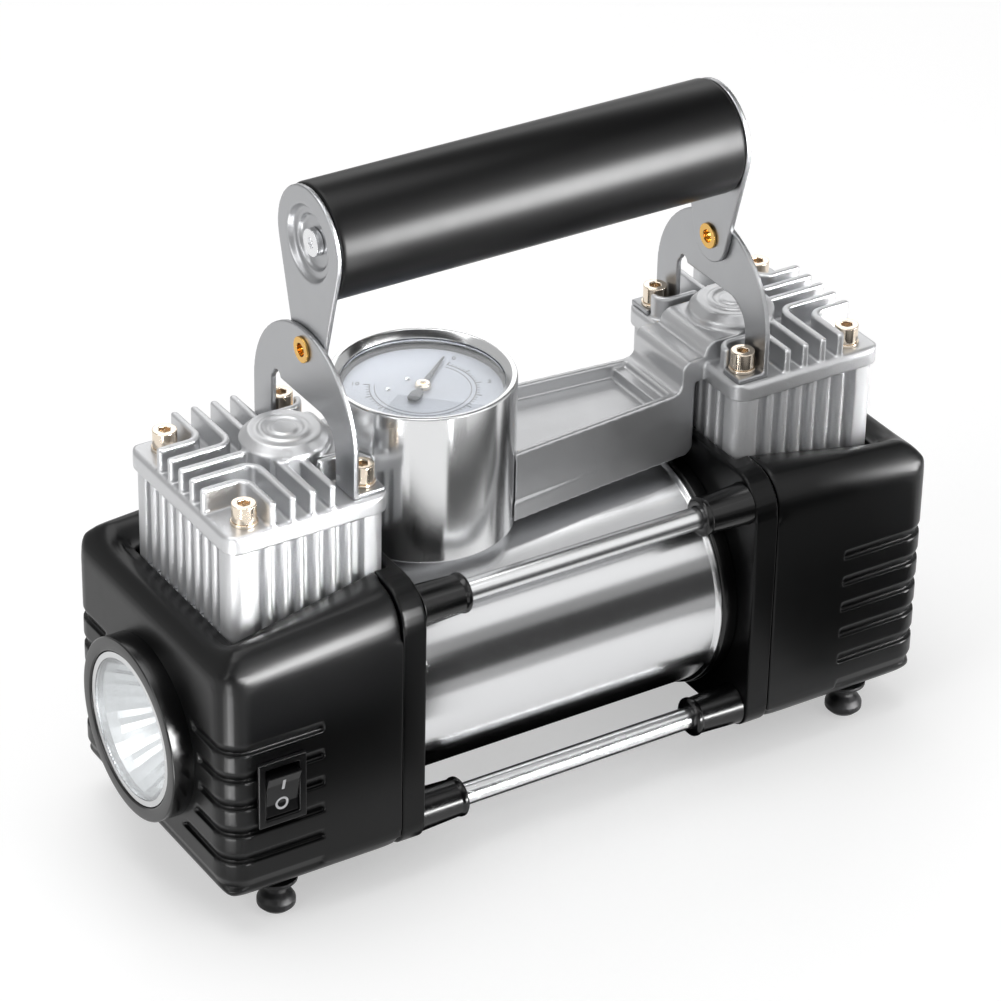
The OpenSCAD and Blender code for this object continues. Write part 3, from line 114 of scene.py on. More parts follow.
FINISHES = (
    # Where polish is set, it also darkens hollows as painted shade, besides lightening worn edges.
    Finish("housing_black", (0.002, 0.0021, 0.0023), 0.33, specular=0.27, grain_size=0.35,
           grain_depth=0.004, mottle=0.1, polish_and_shade=0.25),
    Finish("plate_black", (0.002, 0.0021, 0.0023), 0.3, specular=0.22, grain_size=0.35,
           grain_depth=0.003, mottle=0.1, polish_and_shade=0.2),
    Finish("gloss_black", (0.002, 0.002, 0.0022), 0.22, grain_size=0.8, grain_depth=0.002),
    Finish("motor_steel", (0.76, 0.765, 0.775), 0.22, metallic=1.0, grain=Grain.TURNED_X,
           grain_size=0.25, grain_depth=0.001, mottle=0.02, smudge=0.04, turned=Axis.X),
    Finish("ferrite", (0.035, 0.035, 0.038), 0.6, metallic=0.3, grain=Grain.CAST, grain_size=0.4,
           grain_depth=0.03),
    Finish("core_steel", (0.32, 0.33, 0.34), 0.42, metallic=1.0, grain=Grain.TURNED_X, grain_size=0.5,
           grain_depth=0.03),
    Finish("copper", (0.62, 0.27, 0.12), 0.3, metallic=1.0, grain=Grain.TURNED_X, grain_size=0.6,
           grain_depth=0.08),
    Finish("ground_steel", (0.78, 0.785, 0.795), 0.26, metallic=1.0, grain=Grain.TURNED_X,
           grain_size=0.3, grain_depth=0.001),
    Finish("phenolic", (0.11, 0.045, 0.02), 0.45, mottle=0.2, grain_size=1.0, grain_depth=0.02),
    Finish("carbon", (0.02, 0.02, 0.021), 0.55, metallic=0.2, grain_size=0.4, grain_depth=0.02),
    Finish("cast_aluminium", (0.60, 0.605, 0.615), 0.38, metallic=0.88, grain=Grain.CAST,
           grain_size=0.45, grain_depth=0.022, mottle=0.08, smudge=0.1, polish_and_shade=0.5),
    Finish("block_aluminium", (0.62, 0.625, 0.635), 0.5, metallic=0.75, grain=Grain.CAST,
           grain_size=0.5, grain_depth=0.02, mottle=0.07, smudge=0.1, polish_and_shade=0.5),
    Finish("gasket", (0.12, 0.03, 0.02), 0.8, grain_size=0.6, grain_depth=0.04, mottle=0.2),
    Finish("screw_nickel", (0.80, 0.70, 0.58), 0.16, metallic=1.0, grain=Grain.TURNED_Z,
           grain_size=0.3, grain_depth=0.002, mottle=0.12),
    Finish("seal", (0.018, 0.018, 0.019), 0.6, grain_size=0.5, grain_depth=0.01),
    Finish("chrome", (0.78, 0.785, 0.79), 0.18, metallic=1.0, grain=Grain.TURNED_Z, grain_size=0.3,
           grain_depth=0.0008, mottle=0.02, smudge=0.03, turned=Axis.Z),
    Finish("sheet_steel", (0.40, 0.405, 0.415), 0.33, metallic=1.0, grain=Grain.BRUSHED_Z,
           grain_size=0.35, grain_depth=0.005, mottle=0.08, smudge=0.08),
    Finish("brass", (0.72, 0.43, 0.12), 0.22, metallic=1.0, grain=Grain.TURNED_X, grain_size=0.3,
           grain_depth=0.002, mottle=0.1),
    Finish("grip_black", (0.001, 0.001, 0.0011), 0.34, specular=0.2, grain_size=0.22,
           grain_depth=0.004, smudge=0.05),
    Finish("inner_plastic", (0.05, 0.05, 0.052), 0.5, grain_size=0.5, grain_depth=0.01),
    Finish("dial_face", (0.44, 0.455, 0.51), 0.55, coat=0.3, coat_roughness=0.1, grain_size=3.0,
           grain_depth=0.002, mottle=0.04),
    Finish("print_white", (0.80, 0.80, 0.82), 0.5, grain_size=0.4, grain_depth=0.002),
    Finish("needle_grey", (0.045, 0.047, 0.055), 0.4, grain_size=0.4, grain_depth=0.002),
    Finish("bezel_black", (0.03, 0.031, 0.034), 0.3, grain_size=0.5, grain_depth=0.004),
    Finish("gauge_glass", (0.95, 0.97, 0.98), 0.0, clear=1.0, ior=1.35, grain_size=8.0,
           grain_depth=0.001),
    Finish("reflector", (0.60, 0.605, 0.61), 0.24, metallic=1.0, grain_size=2.0, grain_depth=0.02,
           mottle=0.25),
    Finish("lamp_lens", (0.95, 0.97, 0.98), 0.02, clear=1.0, ior=1.4, grain_size=4.0,
           grain_depth=0.004),
    Finish("switch_black", (0.006, 0.006, 0.0065), 0.33, specular=0.35, grain_size=0.3,
           grain_depth=0.004),
    Finish("rubber", (0.006, 0.006, 0.0065), 0.45, specular=0.3, grain_size=0.5, grain_depth=0.012),
)


class NodeTree:
    """Short-hand for placing and joining shader nodes."""

    def __init__(self, tree: bpy.types.NodeTree) -> None:
        """Keep the tree that is built."""
        self.tree = tree

    def add(self, kind: str, **settings: object) -> bpy.types.Node:
        """Place one node.

        Args:
            kind: Type name of the node.
            settings: Properties set on the node.

        Returns:
            The new node.
        """
        node = self.tree.nodes.new(kind)
        for name, value in settings.items():
            setattr(node, name, value)
        return node

    def link(self, source: bpy.types.NodeSocket, target: bpy.types.NodeSocket) -> None:
        """Join one output to one input."""
        self.tree.links.new(source, target)

    def maths(self, operation: str, first: object, second: object) -> bpy.types.NodeSocket:
        """Place a Math node.

        Args:
            operation: Name of the operation.
            first: Socket or number for the first input.
            second: Socket or number for the second input.

        Returns:
            The node's output.
        """
        node = self.add("ShaderNodeMath", operation=operation)
        for socket, value in zip(node.inputs, (first, second)):
            if isinstance(value, bpy.types.NodeSocket):
                self.link(value, socket)
            else:
                socket.default_value = value
        return node.outputs[0]


class GroupKit:
    """The shader groups that the finishes share."""

    cloud_scale = 55.0
    streak_scale = 170.0
    edge_from = 0.53
    edge_gain = 9.0
    # The three hollow values set painted shade: the colour is darkened where Pointiness marks a hollow.
    hollow_shade_from = 0.48
    hollow_shade_gain = 8.0
    hollow_shade_most = 1.2
    smoothed_by_wear = 0.12
    least_roughness = 0.02

    def __init__(self) -> None:
        """Build both groups."""
        self.grain = self._grain()
        self.handling = self._handling()

    @staticmethod
    def _start(name: str, inputs: dict[str, str], outputs: dict[str, str]) -> tuple:
        """Open a new group.

        Args:
            name: The group's name.
            inputs: Socket types by input name.
            outputs: Socket types by output name.

        Returns:
            The group, its tree kit, its input node and its output node.
        """
        group = bpy.data.node_groups.new(name, "ShaderNodeTree")
        for title, kind in inputs.items():
            group.interface.new_socket(name=title, in_out="INPUT", socket_type=kind)
        for title, kind in outputs.items():
            group.interface.new_socket(name=title, in_out="OUTPUT", socket_type=kind)
        kit = NodeTree(group)
        return group, kit, kit.add("NodeGroupInput"), kit.add("NodeGroupOutput")

    def _grain(self) -> bpy.types.NodeTree:
        """Fine relief: stretched noise, with small pits where the finish is cast."""
        group, kit, given, result = self._start(
            "fine_grain",
            {"Place": "NodeSocketVector", "Stretch": "NodeSocketVector", "Scale": "NodeSocketFloat",
             "Pits": "NodeSocketFloat"},
            {"Height": "NodeSocketFloat"})
        stretched = kit.add("ShaderNodeVectorMath", operation="MULTIPLY")
        kit.link(given.outputs["Place"], stretched.inputs[0])
        kit.link(given.outputs["Stretch"], stretched.inputs[1])
        noise = kit.add("ShaderNodeTexNoise")
        noise.inputs["Detail"].default_value = 4.0
        noise.inputs["Roughness"].default_value = 0.62
        kit.link(stretched.outputs[0], noise.inputs["Vector"])
        kit.link(given.outputs["Scale"], noise.inputs["Scale"])
        pits = kit.add("ShaderNodeTexVoronoi", feature="SMOOTH_F1")
        kit.link(stretched.outputs[0], pits.inputs["Vector"])
        kit.link(given.outputs["Scale"], pits.inputs["Scale"])
        deep = kit.maths("MULTIPLY", pits.outputs["Distance"], given.outputs["Pits"])
        kit.link(kit.maths("ADD", noise.outputs[0], deep), result.inputs["Height"])
        return group

    def _handling(self) -> bpy.types.NodeTree:
        """Slow changes of colour and roughness, outer edges worn lighter, and painted shade that darkens
        the colour in hollows.
        """
        group, kit, given, result = self._start(
            "handling",
            {"Place": "NodeSocketVector", "Colour": "NodeSocketColor", "Roughness": "NodeSocketFloat",
             "Mottle": "NodeSocketFloat", "Smudge": "NodeSocketFloat", "Edge": "NodeSocketFloat",
             "Polish_and_shade": "NodeSocketFloat"},
            {"Colour": "NodeSocketColor", "Roughness": "NodeSocketFloat"})
        cloud = kit.add("ShaderNodeTexNoise")
        cloud.inputs["Scale"].default_value = self.cloud_scale
        cloud.inputs["Detail"].default_value = 3.0
        kit.link(given.outputs["Place"], cloud.inputs["Vector"])
        streak = kit.add("ShaderNodeTexNoise")
        streak.inputs["Scale"].default_value = self.streak_scale
        streak.inputs["Detail"].default_value = 2.0
        kit.link(given.outputs["Place"], streak.inputs["Vector"])
        wander = kit.maths("SUBTRACT", cloud.outputs[0], 0.5)
        tone = kit.maths("ADD", kit.maths("MULTIPLY", wander, given.outputs["Mottle"]), 1.0)
        shaded = kit.add("ShaderNodeVectorMath", operation="SCALE")
        kit.link(given.outputs["Colour"], shaded.inputs[0])
        kit.link(tone, shaded.inputs["Scale"])
        edge = kit.maths("SUBTRACT", given.outputs["Edge"], self.edge_from)
        edge = kit.maths("MAXIMUM", kit.maths("MULTIPLY", edge, self.edge_gain), 0.0)
        edge = kit.maths("MINIMUM", edge, 1.0)
        # Painted shade: darken the colour in hollows, where shade would fall.
        hollow_shade = kit.maths("SUBTRACT", self.hollow_shade_from, given.outputs["Edge"])
        hollow_shade = kit.maths("MAXIMUM", kit.maths("MULTIPLY", hollow_shade, self.hollow_shade_gain), 0.0)
        hollow_shade = kit.maths("MINIMUM", hollow_shade, self.hollow_shade_most)
        # Edges worn lighter (wear) and hollows darkened (painted shade) scale the colour together.
        wear_and_shade = kit.maths("MULTIPLY", kit.maths("SUBTRACT", edge, hollow_shade), given.outputs["Polish_and_shade"])
        rubbed_and_shaded = kit.maths("ADD", wear_and_shade, 1.0)
        lit = kit.add("ShaderNodeVectorMath", operation="SCALE")
        kit.link(shaded.outputs[0], lit.inputs[0])
        kit.link(rubbed_and_shaded, lit.inputs["Scale"])
        kit.link(lit.outputs[0], result.inputs["Colour"])
        uneven = kit.maths("SUBTRACT", streak.outputs[0], 0.5)
        rough = kit.maths("ADD", given.outputs["Roughness"],
                          kit.maths("MULTIPLY", uneven, given.outputs["Smudge"]))
        worn = kit.maths("MULTIPLY", edge, given.outputs["Polish_and_shade"])
        left = kit.maths("SUBTRACT", rough, kit.maths("MULTIPLY", worn, self.smoothed_by_wear))
        kit.link(kit.maths("MAXIMUM", left, self.least_roughness), result.inputs["Roughness"])
        return group


class Paint:
    """Makes each finish's material once and hands it out by slot."""

    def __init__(self, finishes: Sequence[Finish]) -> None:
        """Build every material.

        Args:
            finishes: The finishes, one for each slot.
        """
        self.groups = GroupKit()
        self.materials = {finish.slot: self._material(finish) for finish in finishes}

    def of(self, slot: str) -> bpy.types.Material:
        """Material of a slot."""
        return self.materials[slot]

    def _material(self, finish: Finish) -> bpy.types.Material:
        """Build one material.

        Args:
            finish: What the surface looks like.

        Returns:
            The material.
        """
        material = bpy.data.materials.new(finish.slot)
        material.use_nodes = True
        kit = NodeTree(material.node_tree)
        shader = material.node_tree.nodes["Principled BSDF"]
        place = kit.add("ShaderNodeTexCoord").outputs["Object"]
        shader.inputs["Metallic"].default_value = finish.metallic
        shader.inputs["Coat Weight"].default_value = finish.coat
        shader.inputs["Coat Roughness"].default_value = finish.coat_roughness
        shader.inputs["IOR"].default_value = finish.ior
        shader.inputs["Specular IOR Level"].default_value = finish.specular
        if finish.turned:
            shader.inputs["Anisotropic"].default_value = LATHE_BLUR
            shader.inputs["Anisotropic Rotation"].default_value = QUARTER_TURN
            round_axis = kit.add("ShaderNodeTangent", direction_type="RADIAL", axis=finish.turned.name)
            kit.link(round_axis.outputs[0], shader.inputs["Tangent"])
        grain = kit.add("ShaderNodeGroup", node_tree=self.groups.grain)
        kit.link(place, grain.inputs["Place"])
        *stretch, pits = finish.grain.value
        grain.inputs["Stretch"].default_value = stretch
        grain.inputs["Scale"].default_value = 1.0 / (finish.grain_size * MM)
        grain.inputs["Pits"].default_value = pits
        bump = kit.add("ShaderNodeBump")
        bump.inputs["Distance"].default_value = finish.grain_depth * MM
        kit.link(grain.outputs["Height"], bump.inputs["Height"])
        kit.link(bump.outputs["Normal"], shader.inputs["Normal"])
        if finish.clear:
            self._clear(kit, shader, finish)
            return material
        handling = kit.add("ShaderNodeGroup", node_tree=self.groups.handling)
        kit.link(place, handling.inputs["Place"])
        handling.inputs["Colour"].default_value = (*finish.colour, 1.0)
        handling.inputs["Roughness"].default_value = finish.roughness
        handling.inputs["Mottle"].default_value = finish.mottle
        handling.inputs["Smudge"].default_value = finish.smudge
        handling.inputs["Polish_and_shade"].default_value = finish.polish_and_shade
        kit.link(kit.add("ShaderNodeNewGeometry").outputs["Pointiness"], handling.inputs["Edge"])
        kit.link(handling.outputs["Colour"], shader.inputs["Base Color"])
        kit.link(handling.outputs["Roughness"], shader.inputs["Roughness"])
        return material

    @staticmethod
    def _clear(kit: NodeTree, shader: bpy.types.Node, finish: Finish) -> None:
        """Turn the shader to glass that lets shadow rays through.

        Args:
            kit: The material's tree.
            shader: Its Principled BSDF.
            finish: What the glass looks like.
        """
        shader.inputs["Base Color"].default_value = (*finish.colour, 1.0)
        shader.inputs["Roughness"].default_value = finish.roughness
        shader.inputs["Transmission Weight"].default_value = finish.clear
        output = kit.tree.nodes["Material Output"]
        through = kit.add("ShaderNodeBsdfTransparent")
        mix = kit.add("ShaderNodeMixShader")
        kit.link(kit.add("ShaderNodeLightPath").outputs["Is Shadow Ray"], mix.inputs[0])
        kit.link(shader.outputs[0], mix.inputs[1])
        kit.link(through.outputs[0], mix.inputs[2])
        kit.link(mix.outputs[0], output.inputs["Surface"])


def centre_of(node: str) -> Vector:
    """Middle of a CAD node's box, in millimetres."""
    low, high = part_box(node)
    return (low + high) / (2 * MM)


def extent(node: str) -> tuple[Vector, Vector]:
    """Lowest and highest corner of a CAD node, in millimetres."""
    low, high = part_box(node)
    return low / MM, high / MM


def lying(node: str) -> tuple[float, float, Vector]:
    """Radius, length and -X end of a round CAD node that lies along X, in millimetres."""
    low, high = extent(node)
    return (high.z - low.z) / 2, high.x - low.x, Vector((low.x, 0.0, (low.z + high.z) / 2))


def stood(place: Vector, face: Vector) -> Matrix:
    """Matrix that puts a thing at a place with its own Z facing one way."""
    return Matrix.Translation(place) @ face.to_track_quat("Z", "Y").to_matrix().to_4x4()


def smooth_step(start: float, stop: float, value: float) -> float:
    """Rise smoothly from 0 at start to 1 at stop."""
    share = min(max((value - start) / (stop - start), 0.0), 1.0)
    return share * share * (3.0 - 2.0 * share)


def soften(bm: bmesh.types.BMesh, width: float, segments: int = 3, angle: float = 28.0) -> None:
    """Round the sharp edges of a closed mesh.

    Args:
        bm: The mesh, in millimetres.
        width: Width of the rounding in millimetres.
        segments: Facets across the rounding.
        angle: Least angle between two faces that is rounded, in degrees.
    """
    limit = math.radians(angle)
    sharp = [edge for edge in bm.edges if edge.is_manifold and edge.calc_face_angle() > limit]
    if sharp and width > 0:
        bmesh.ops.bevel(bm, geom=sharp, offset=width, offset_type="OFFSET", segments=segments,
                        profile=0.5, affect="EDGES", clamp_overlap=False, material=-1)


def spun(points: Sequence[Point], steps: int = 96, soft: float = 0.3,
         closed: bool = True) -> bmesh.types.BMesh:
    """Turn an outline of radius and height once round Z.

    Args:
        points: The outline, in millimetres.
        steps: Facets in a full turn.
        soft: Rounding of the sharp rims.
        closed: Whether the last point joins the first.

    Returns:
        The turned mesh, with its axis on Z.
    """
    bm = bmesh.new()
    verts = [bm.verts.new((radius, 0.0, height)) for radius, height in points]
    pairs = list(zip(verts, verts[1:]))
    if closed:
        pairs.append((verts[-1], verts[0]))
    edges = [bm.edges.new(pair) for pair in pairs]
    bmesh.ops.spin(bm, geom=verts + edges, cent=(0, 0, 0), axis=(0, 0, 1), angle=math.tau,
                   steps=steps, use_merge=True)
    bmesh.ops.remove_doubles(bm, verts=bm.verts, dist=1e-3)
    bmesh.ops.recalc_face_normals(bm, faces=bm.faces)
    soften(bm, soft)
    return bm


def prism(outline: Sequence[Point], low: float, high: float, soft: float = 0.0) -> bmesh.types.BMesh:
    """Raise a flat outline along Z.

    Args:
        outline: Corners of the outline, in millimetres.
        low: Height of its foot.
        high: Height of its top.
        soft: Rounding of every sharp edge.

    Returns:
        The closed mesh.
    """
    bm = bmesh.new()
    foot = bm.faces.new([bm.verts.new((x, y, low)) for x, y in outline])
    raised = bmesh.ops.extrude_face_region(bm, geom=[foot])
    top = [item for item in raised["geom"] if isinstance(item, bmesh.types.BMVert)]
    bmesh.ops.translate(bm, vec=(0, 0, high - low), verts=top)
    bmesh.ops.recalc_face_normals(bm, faces=bm.faces)
    soften(bm, soft)
    return bm


def aim(bm: bmesh.types.BMesh, axis: Axis, centre: Vector) -> bmesh.types.BMesh:
    """Turn a mesh from Z to an axis and move it.

    Args:
        bm: The mesh.
        axis: Where its own Z points afterwards.
        centre: Where its own origin lies afterwards, in millimetres.

    Returns:
        The same mesh.
    """
    turn = Vector((0, 0, 1)).rotation_difference(Vector(axis.value)).to_matrix().to_4x4()
    bmesh.ops.transform(bm, matrix=Matrix.Translation(centre) @ turn, verts=bm.verts)
    return bm


def joined(parts: Sequence[bmesh.types.BMesh]) -> bmesh.types.BMesh:
    """Put several meshes into one.

    Args:
        parts: The meshes, which are freed.

    Returns:
        One mesh that holds them all.
    """
    whole = bmesh.new()
    for part in parts:
        carrier = bpy.data.meshes.new("carrier")
        part.to_mesh(carrier)
        part.free()
        whole.from_mesh(carrier)
        bpy.data.meshes.remove(carrier)
    return whole


class Workshop:
    """Finishes pieces: makes the object, dresses it and hangs it on its body."""

    def __init__(self, paint: Paint) -> None:
        """Keep the paints.

        Args:
            paint: The materials by slot.
        """
        self.paint = paint

    def finish(self, name: str, bm: bmesh.types.BMesh, slot: str, body: str, *nodes: str,
               crease: float = 38.0, look: str = "") -> bpy.types.Object:
        """Make one finished piece from a mesh in millimetres.

        Args:
            name: The piece's name.
            bm: Its mesh, which is freed.
            slot: Its material slot.
            body: The body it rides on.
            nodes: The CAD nodes it stands for.
            crease: Angle past which an edge stays sharp, in degrees.
            look: The finish it shows, where that isn't its slot's own.

        Returns:
            The piece.
        """
        bmesh.ops.transform(bm, matrix=Matrix.Scale(MM, 4), verts=bm.verts)
        mesh = bpy.data.meshes.new(name)
        bm.to_mesh(mesh)
        bm.free()
        mesh.shade_smooth()
        mesh.set_sharp_from_angle(angle=math.radians(crease))
        mesh.materials.append(self.paint.of(look or slot))
        piece = bpy.data.objects.new(name, mesh)
        bpy.context.scene.collection.objects.link(piece)
        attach(piece, body)
        if nodes:
            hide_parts(*nodes)
        log.info("%s: %d faces on %s", name, len(mesh.polygons), body)
        return piece

    @staticmethod
    def _worked(mesh: bpy.types.Mesh, kind: str, **settings: object) -> bpy.types.Mesh:
        """Pass a mesh through one modifier.

        Args:
            mesh: The mesh, which is removed.
            kind: Type name of the modifier.
            settings: Properties set on the modifier.

        Returns:
            The new mesh.
        """
        holder = bpy.data.objects.new("work", mesh)
        bpy.context.scene.collection.objects.link(holder)
        step = holder.modifiers.new("step", kind)
        for key, value in settings.items():
            setattr(step, key, value)
        graph = bpy.context.evaluated_depsgraph_get()
        made = bpy.data.meshes.new_from_object(holder.evaluated_get(graph), depsgraph=graph)
        bpy.data.objects.remove(holder)
        bpy.data.meshes.remove(mesh)
        return made

    def skin(self, node: str, name: str, slot: str, body: str, voxel: float, passes: int,
             form: Callable[[bmesh.types.BMesh], None] | None = None,
             most: int = MOST_TRIANGLES) -> bpy.types.Object:
        """Cast or mould a node anew, with every edge and every inner corner rounded.

        Args:
            node: The CAD node whose shape is followed.
            name: The piece's name.
            slot: Its material slot.
            body: The body it rides on.
            voxel: Grid of the new surface, in millimetres.
            passes: How often the surface is smoothed.
            form: What shapes the mesh further, in millimetres.
            most: How many triangles the piece may have.

        Returns:
            The piece.
        """
        bm = bmesh.new()
        bm.from_mesh(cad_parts[node].data)
        bmesh.ops.remove_doubles(bm, verts=bm.verts, dist=2e-6)
        cast = bpy.data.meshes.new("cast")
        bm.to_mesh(cast)
        bm.clear()
        cast = self._worked(cast, "REMESH", mode="VOXEL", voxel_size=voxel * MM, adaptivity=0.0)
        cast = self._worked(cast, "SMOOTH", factor=0.5, iterations=passes)
        share = most / (2 * len(cast.polygons))
        if share < 1.0:
            cast = self._worked(cast, "DECIMATE", ratio=share)
        bm.from_mesh(cast)
        bpy.data.meshes.remove(cast)
        bmesh.ops.transform(bm, matrix=Matrix.Scale(1 / MM, 4), verts=bm.verts)
        if form:
            form(bm)
        return self.finish(name, bm, slot, body, node, crease=180.0)

    def dress(self, slots: dict[str, Sequence[str]]) -> None:
        """Give CAD nodes that stay as they are their materials.

        Args:
            slots: Names of the nodes by slot.
        """
        for slot, nodes in slots.items():
            for node in nodes:
                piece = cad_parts[node]
                piece.data.materials.clear()
                piece.data.materials.append(self.paint.of(slot))
                log.info("%s keeps its solid, in %s", node, slot)


@dataclass
class Studio:
    """Pale floor, soft light and the camera of the photograph, in metres and degrees."""

    eye: tuple[float, float, float] = (-0.568698, -0.892554, 0.727471)
    azimuth: float = -32.49
    elevation: float = 31.23
    roll: float = 1.25
    lens: float = 155.05
    floor_half: float = 4.0
    floor_tone: float = 0.60
    floor_glow: float = 0.46
    sky_seen: float = 1.0
    sky_mirrored: float = 0.55
    sky_light: float = 0.3

    def build(self) -> None:
        """Set up everything that isn't the object."""
        self._camera()
        self._floor()
        self._world()
        self._lamps()
        self._cards()
        bpy.context.scene.view_settings.view_transform = "Standard"

    def _camera(self) -> None:
        """Place the camera where the photograph was taken from."""
        turn, tilt, roll = (math.radians(v) for v in (self.azimuth, self.elevation, self.roll))
        back = Vector((math.sin(turn) * math.cos(tilt), -math.cos(turn) * math.cos(tilt), math.sin(tilt)))
        level = Vector((math.cos(turn), math.sin(turn), 0.0))
        upright = back.cross(level)
        right = level * math.cos(roll) + upright * math.sin(roll)
        up = upright * math.cos(roll) - level * math.sin(roll)
        lens = bpy.data.cameras.new("camera")
        lens.lens = self.lens
        lens.sensor_width = 36.0
        lens.clip_end = 20.0
        camera = bpy.data.objects.new("camera", lens)
        bpy.context.scene.collection.objects.link(camera)
        spin = Matrix((right, up, back)).transposed().to_4x4()
        camera.matrix_world = Matrix.Translation(self.eye) @ spin
        bpy.context.scene.camera = camera

    def _sheet(self, name: str, half_x: float, half_y: float, place: Vector, face: Vector,
               turn: float = 0.0) -> bpy.types.Object:
        """Make one flat stage piece.

        Args:
            name: Its name.
            half_x: Half its width.
            half_y: Half its height.
            place: Its middle.
            face: The way it faces.
            turn: How far it is turned on that way, in degrees.

        Returns:
            The stage object.
        """
        bm = bmesh.new()
        bmesh.ops.create_grid(bm, x_segments=1, y_segments=1, size=1.0)
        bmesh.ops.scale(bm, vec=(half_x, half_y, 1.0), verts=bm.verts)
        spin = Matrix.Rotation(math.radians(turn), 4, "Z")
        bmesh.ops.transform(bm, matrix=stood(place, face) @ spin, verts=bm.verts)
        mesh = bpy.data.meshes.new(name)
        bm.to_mesh(mesh)
        bm.free()
        sheet = bpy.data.objects.new(name, mesh)
        bpy.context.scene.collection.objects.link(sheet)
        return sheet

    def _floor(self) -> None:
        """Lay a floor that looks white and still holds the object's shadow."""
        half = self.floor_half
        floor = self._sheet("floor", half, half, Vector((0, 0, 0)), Vector((0, 0, 1)))
        material = bpy.data.materials.new("floor_white")
        material.use_nodes = True
        kit = NodeTree(material.node_tree)
        shader = material.node_tree.nodes["Principled BSDF"]
        tone = self.floor_tone
        shader.inputs["Base Color"].default_value = (tone, tone, tone, 1.0)
        shader.inputs["Roughness"].default_value = 0.9
        shader.inputs["Specular IOR Level"].default_value = 0.0
        paths = kit.add("ShaderNodeLightPath")
        seen = kit.maths("MAXIMUM", paths.outputs["Is Camera Ray"], paths.outputs["Is Transmission Ray"])
        seen = kit.maths("MAXIMUM", seen, paths.outputs["Is Glossy Ray"])
        shader.inputs["Emission Color"].default_value = (1.0, 1.0, 1.0, 1.0)
        kit.link(kit.maths("MULTIPLY", seen, self.floor_glow), shader.inputs["Emission Strength"])
        floor.data.materials.append(material)

    def _world(self) -> None:
        """White to the eye and to glossy surfaces, dimmer as a light."""
        world = bpy.data.worlds.new("studio")
        world.use_nodes = True
        bpy.context.scene.world = world
        kit = NodeTree(world.node_tree)
        background = world.node_tree.nodes["Background"]
        background.inputs["Color"].default_value = (1.0, 1.0, 1.0, 1.0)
        paths = kit.add("ShaderNodeLightPath")
        seen = kit.maths("MAXIMUM", paths.outputs["Is Camera Ray"], paths.outputs["Is Transmission Ray"])
        strength = kit.maths("MULTIPLY", seen, self.sky_seen - self.sky_light)
        strength = kit.maths("ADD", strength, self.sky_light)
        glossy = kit.maths("MULTIPLY", paths.outputs["Is Glossy Ray"], self.sky_mirrored - self.sky_light)
        kit.link(kit.maths("ADD", strength, glossy), background.inputs["Strength"])

    def _lamps(self) -> None:
        """Hang the soft boxes."""
        rows = (
            ("overhead", (-0.10, 0.15, 1.25), 1.0, 0.9, 8.0),
            ("left_box", (-1.25, -0.25, 0.75), 0.7, 1.1, 6.0),
            ("right_box", (0.58, -0.83, 0.93), 0.9, 0.70, 2.4),
            ("back_box", (0.75, 1.15, 0.90), 1.2, 0.8, 3.6),
        )
        target = Vector((0.0, 0.0, 0.09))
        for name, place, width, height, power in rows:
            light = bpy.data.lights.new(name, "AREA")
            light.shape = "RECTANGLE"
            light.size = width
            light.size_y = height
            light.energy = power
            lamp = bpy.data.objects.new(name, light)
            bpy.context.scene.collection.objects.link(lamp)
            lamp.matrix_world = stood(Vector(place), Vector(place) - target)

    def _cards(self) -> None:
        """Stand the cards only polished surfaces show: dark ones for bands and a painted shadow, white ones
        for gleams.
        """
        rows = (
            ("low_band", (0.062, -0.10, 0.037), 0.097, 0.009, (0.0, 1.0, 0.0), 0.0, 0.45),
            ("dark_band", (0.062, -0.10, 0.064), 0.097, 0.018, (0.0, 1.0, 0.0), 0.0, 0.05),
            ("mid_band", (0.062, -0.10, 0.092), 0.097, 0.010, (0.0, 1.0, 0.0), 0.0, 0.3),
            ("bright_band", (0.062, -0.10, 0.132), 0.09, 0.030, (0.0, 1.0, 0.0), 0.0, 1.0),
            ("upper_band", (0.06, -0.06, 0.14), 0.075, 0.025, (0.0, 1.0, 0.0), 0.0, 0.9),
            # A black sheet on the floor under the can: painted shadow that only glossy reflections show.
            ("under_shadow_card", (0.005, -0.004, 0.004), 0.055, 0.042, (0.0, 0.0, 1.0), 0.0, 0.0),
            ("rear_card", (0.155, -0.145, 0.003), 0.055, 0.075, (0.0, 0.0, 1.0), 0.0, 0.0),
            ("switch_card", (-0.0675, -0.075, 0.0425), 0.0325, 0.0275, (0.0, 1.0, 0.0), 0.0, 0.02),
            ("top_card", (0.40, 0.25, 0.74), 0.38, 0.23, (-0.40, -0.25, -0.66), 0.0, 0.03),
            ("corner_card", (-0.21, -0.105, 0.005), 0.065, 0.017, (0.0, 0.0, 1.0), 33.0, 16.0),
            ("grip_strip", (0.50, -0.90, 0.27), 0.45, 0.25, (-0.50, 0.90, 0.0), 0.0, 46.0),
            ("grip_glow", (0.22, -0.42, 0.002), 0.25, 0.12, (0.0, 0.0, 1.0), 0.0, 12.0),
        )
        for name, place, half_x, half_y, face, turn, glow in rows:
            card = self._sheet(name, half_x, half_y, Vector(place), Vector(face), turn)
            card.data.materials.append(self._card_paint(name, glow))
            card.visible_camera = False
            card.visible_diffuse = False
            card.visible_transmission = False
            card.visible_shadow = False

    @staticmethod
    def _card_paint(name: str, glow: float) -> bpy.types.Material:
        """Make one card's material.

        Args:
            name: The card's name.
            glow: How bright it shines, 0 for a black card.

        Returns:
            The material.
        """
        material = bpy.data.materials.new(name)
        material.use_nodes = True
        shader = material.node_tree.nodes["Principled BSDF"]
        shader.inputs["Base Color"].default_value = (0.01, 0.01, 0.01, 1.0)
        shader.inputs["Roughness"].default_value = 1.0
        shader.inputs["Specular IOR Level"].default_value = 0.0
        shader.inputs["Emission Color"].default_value = (1.0, 1.0, 1.0, 1.0)
        shader.inputs["Emission Strength"].default_value = glow
        material.cycles.emission_sampling = "NONE"
        return material


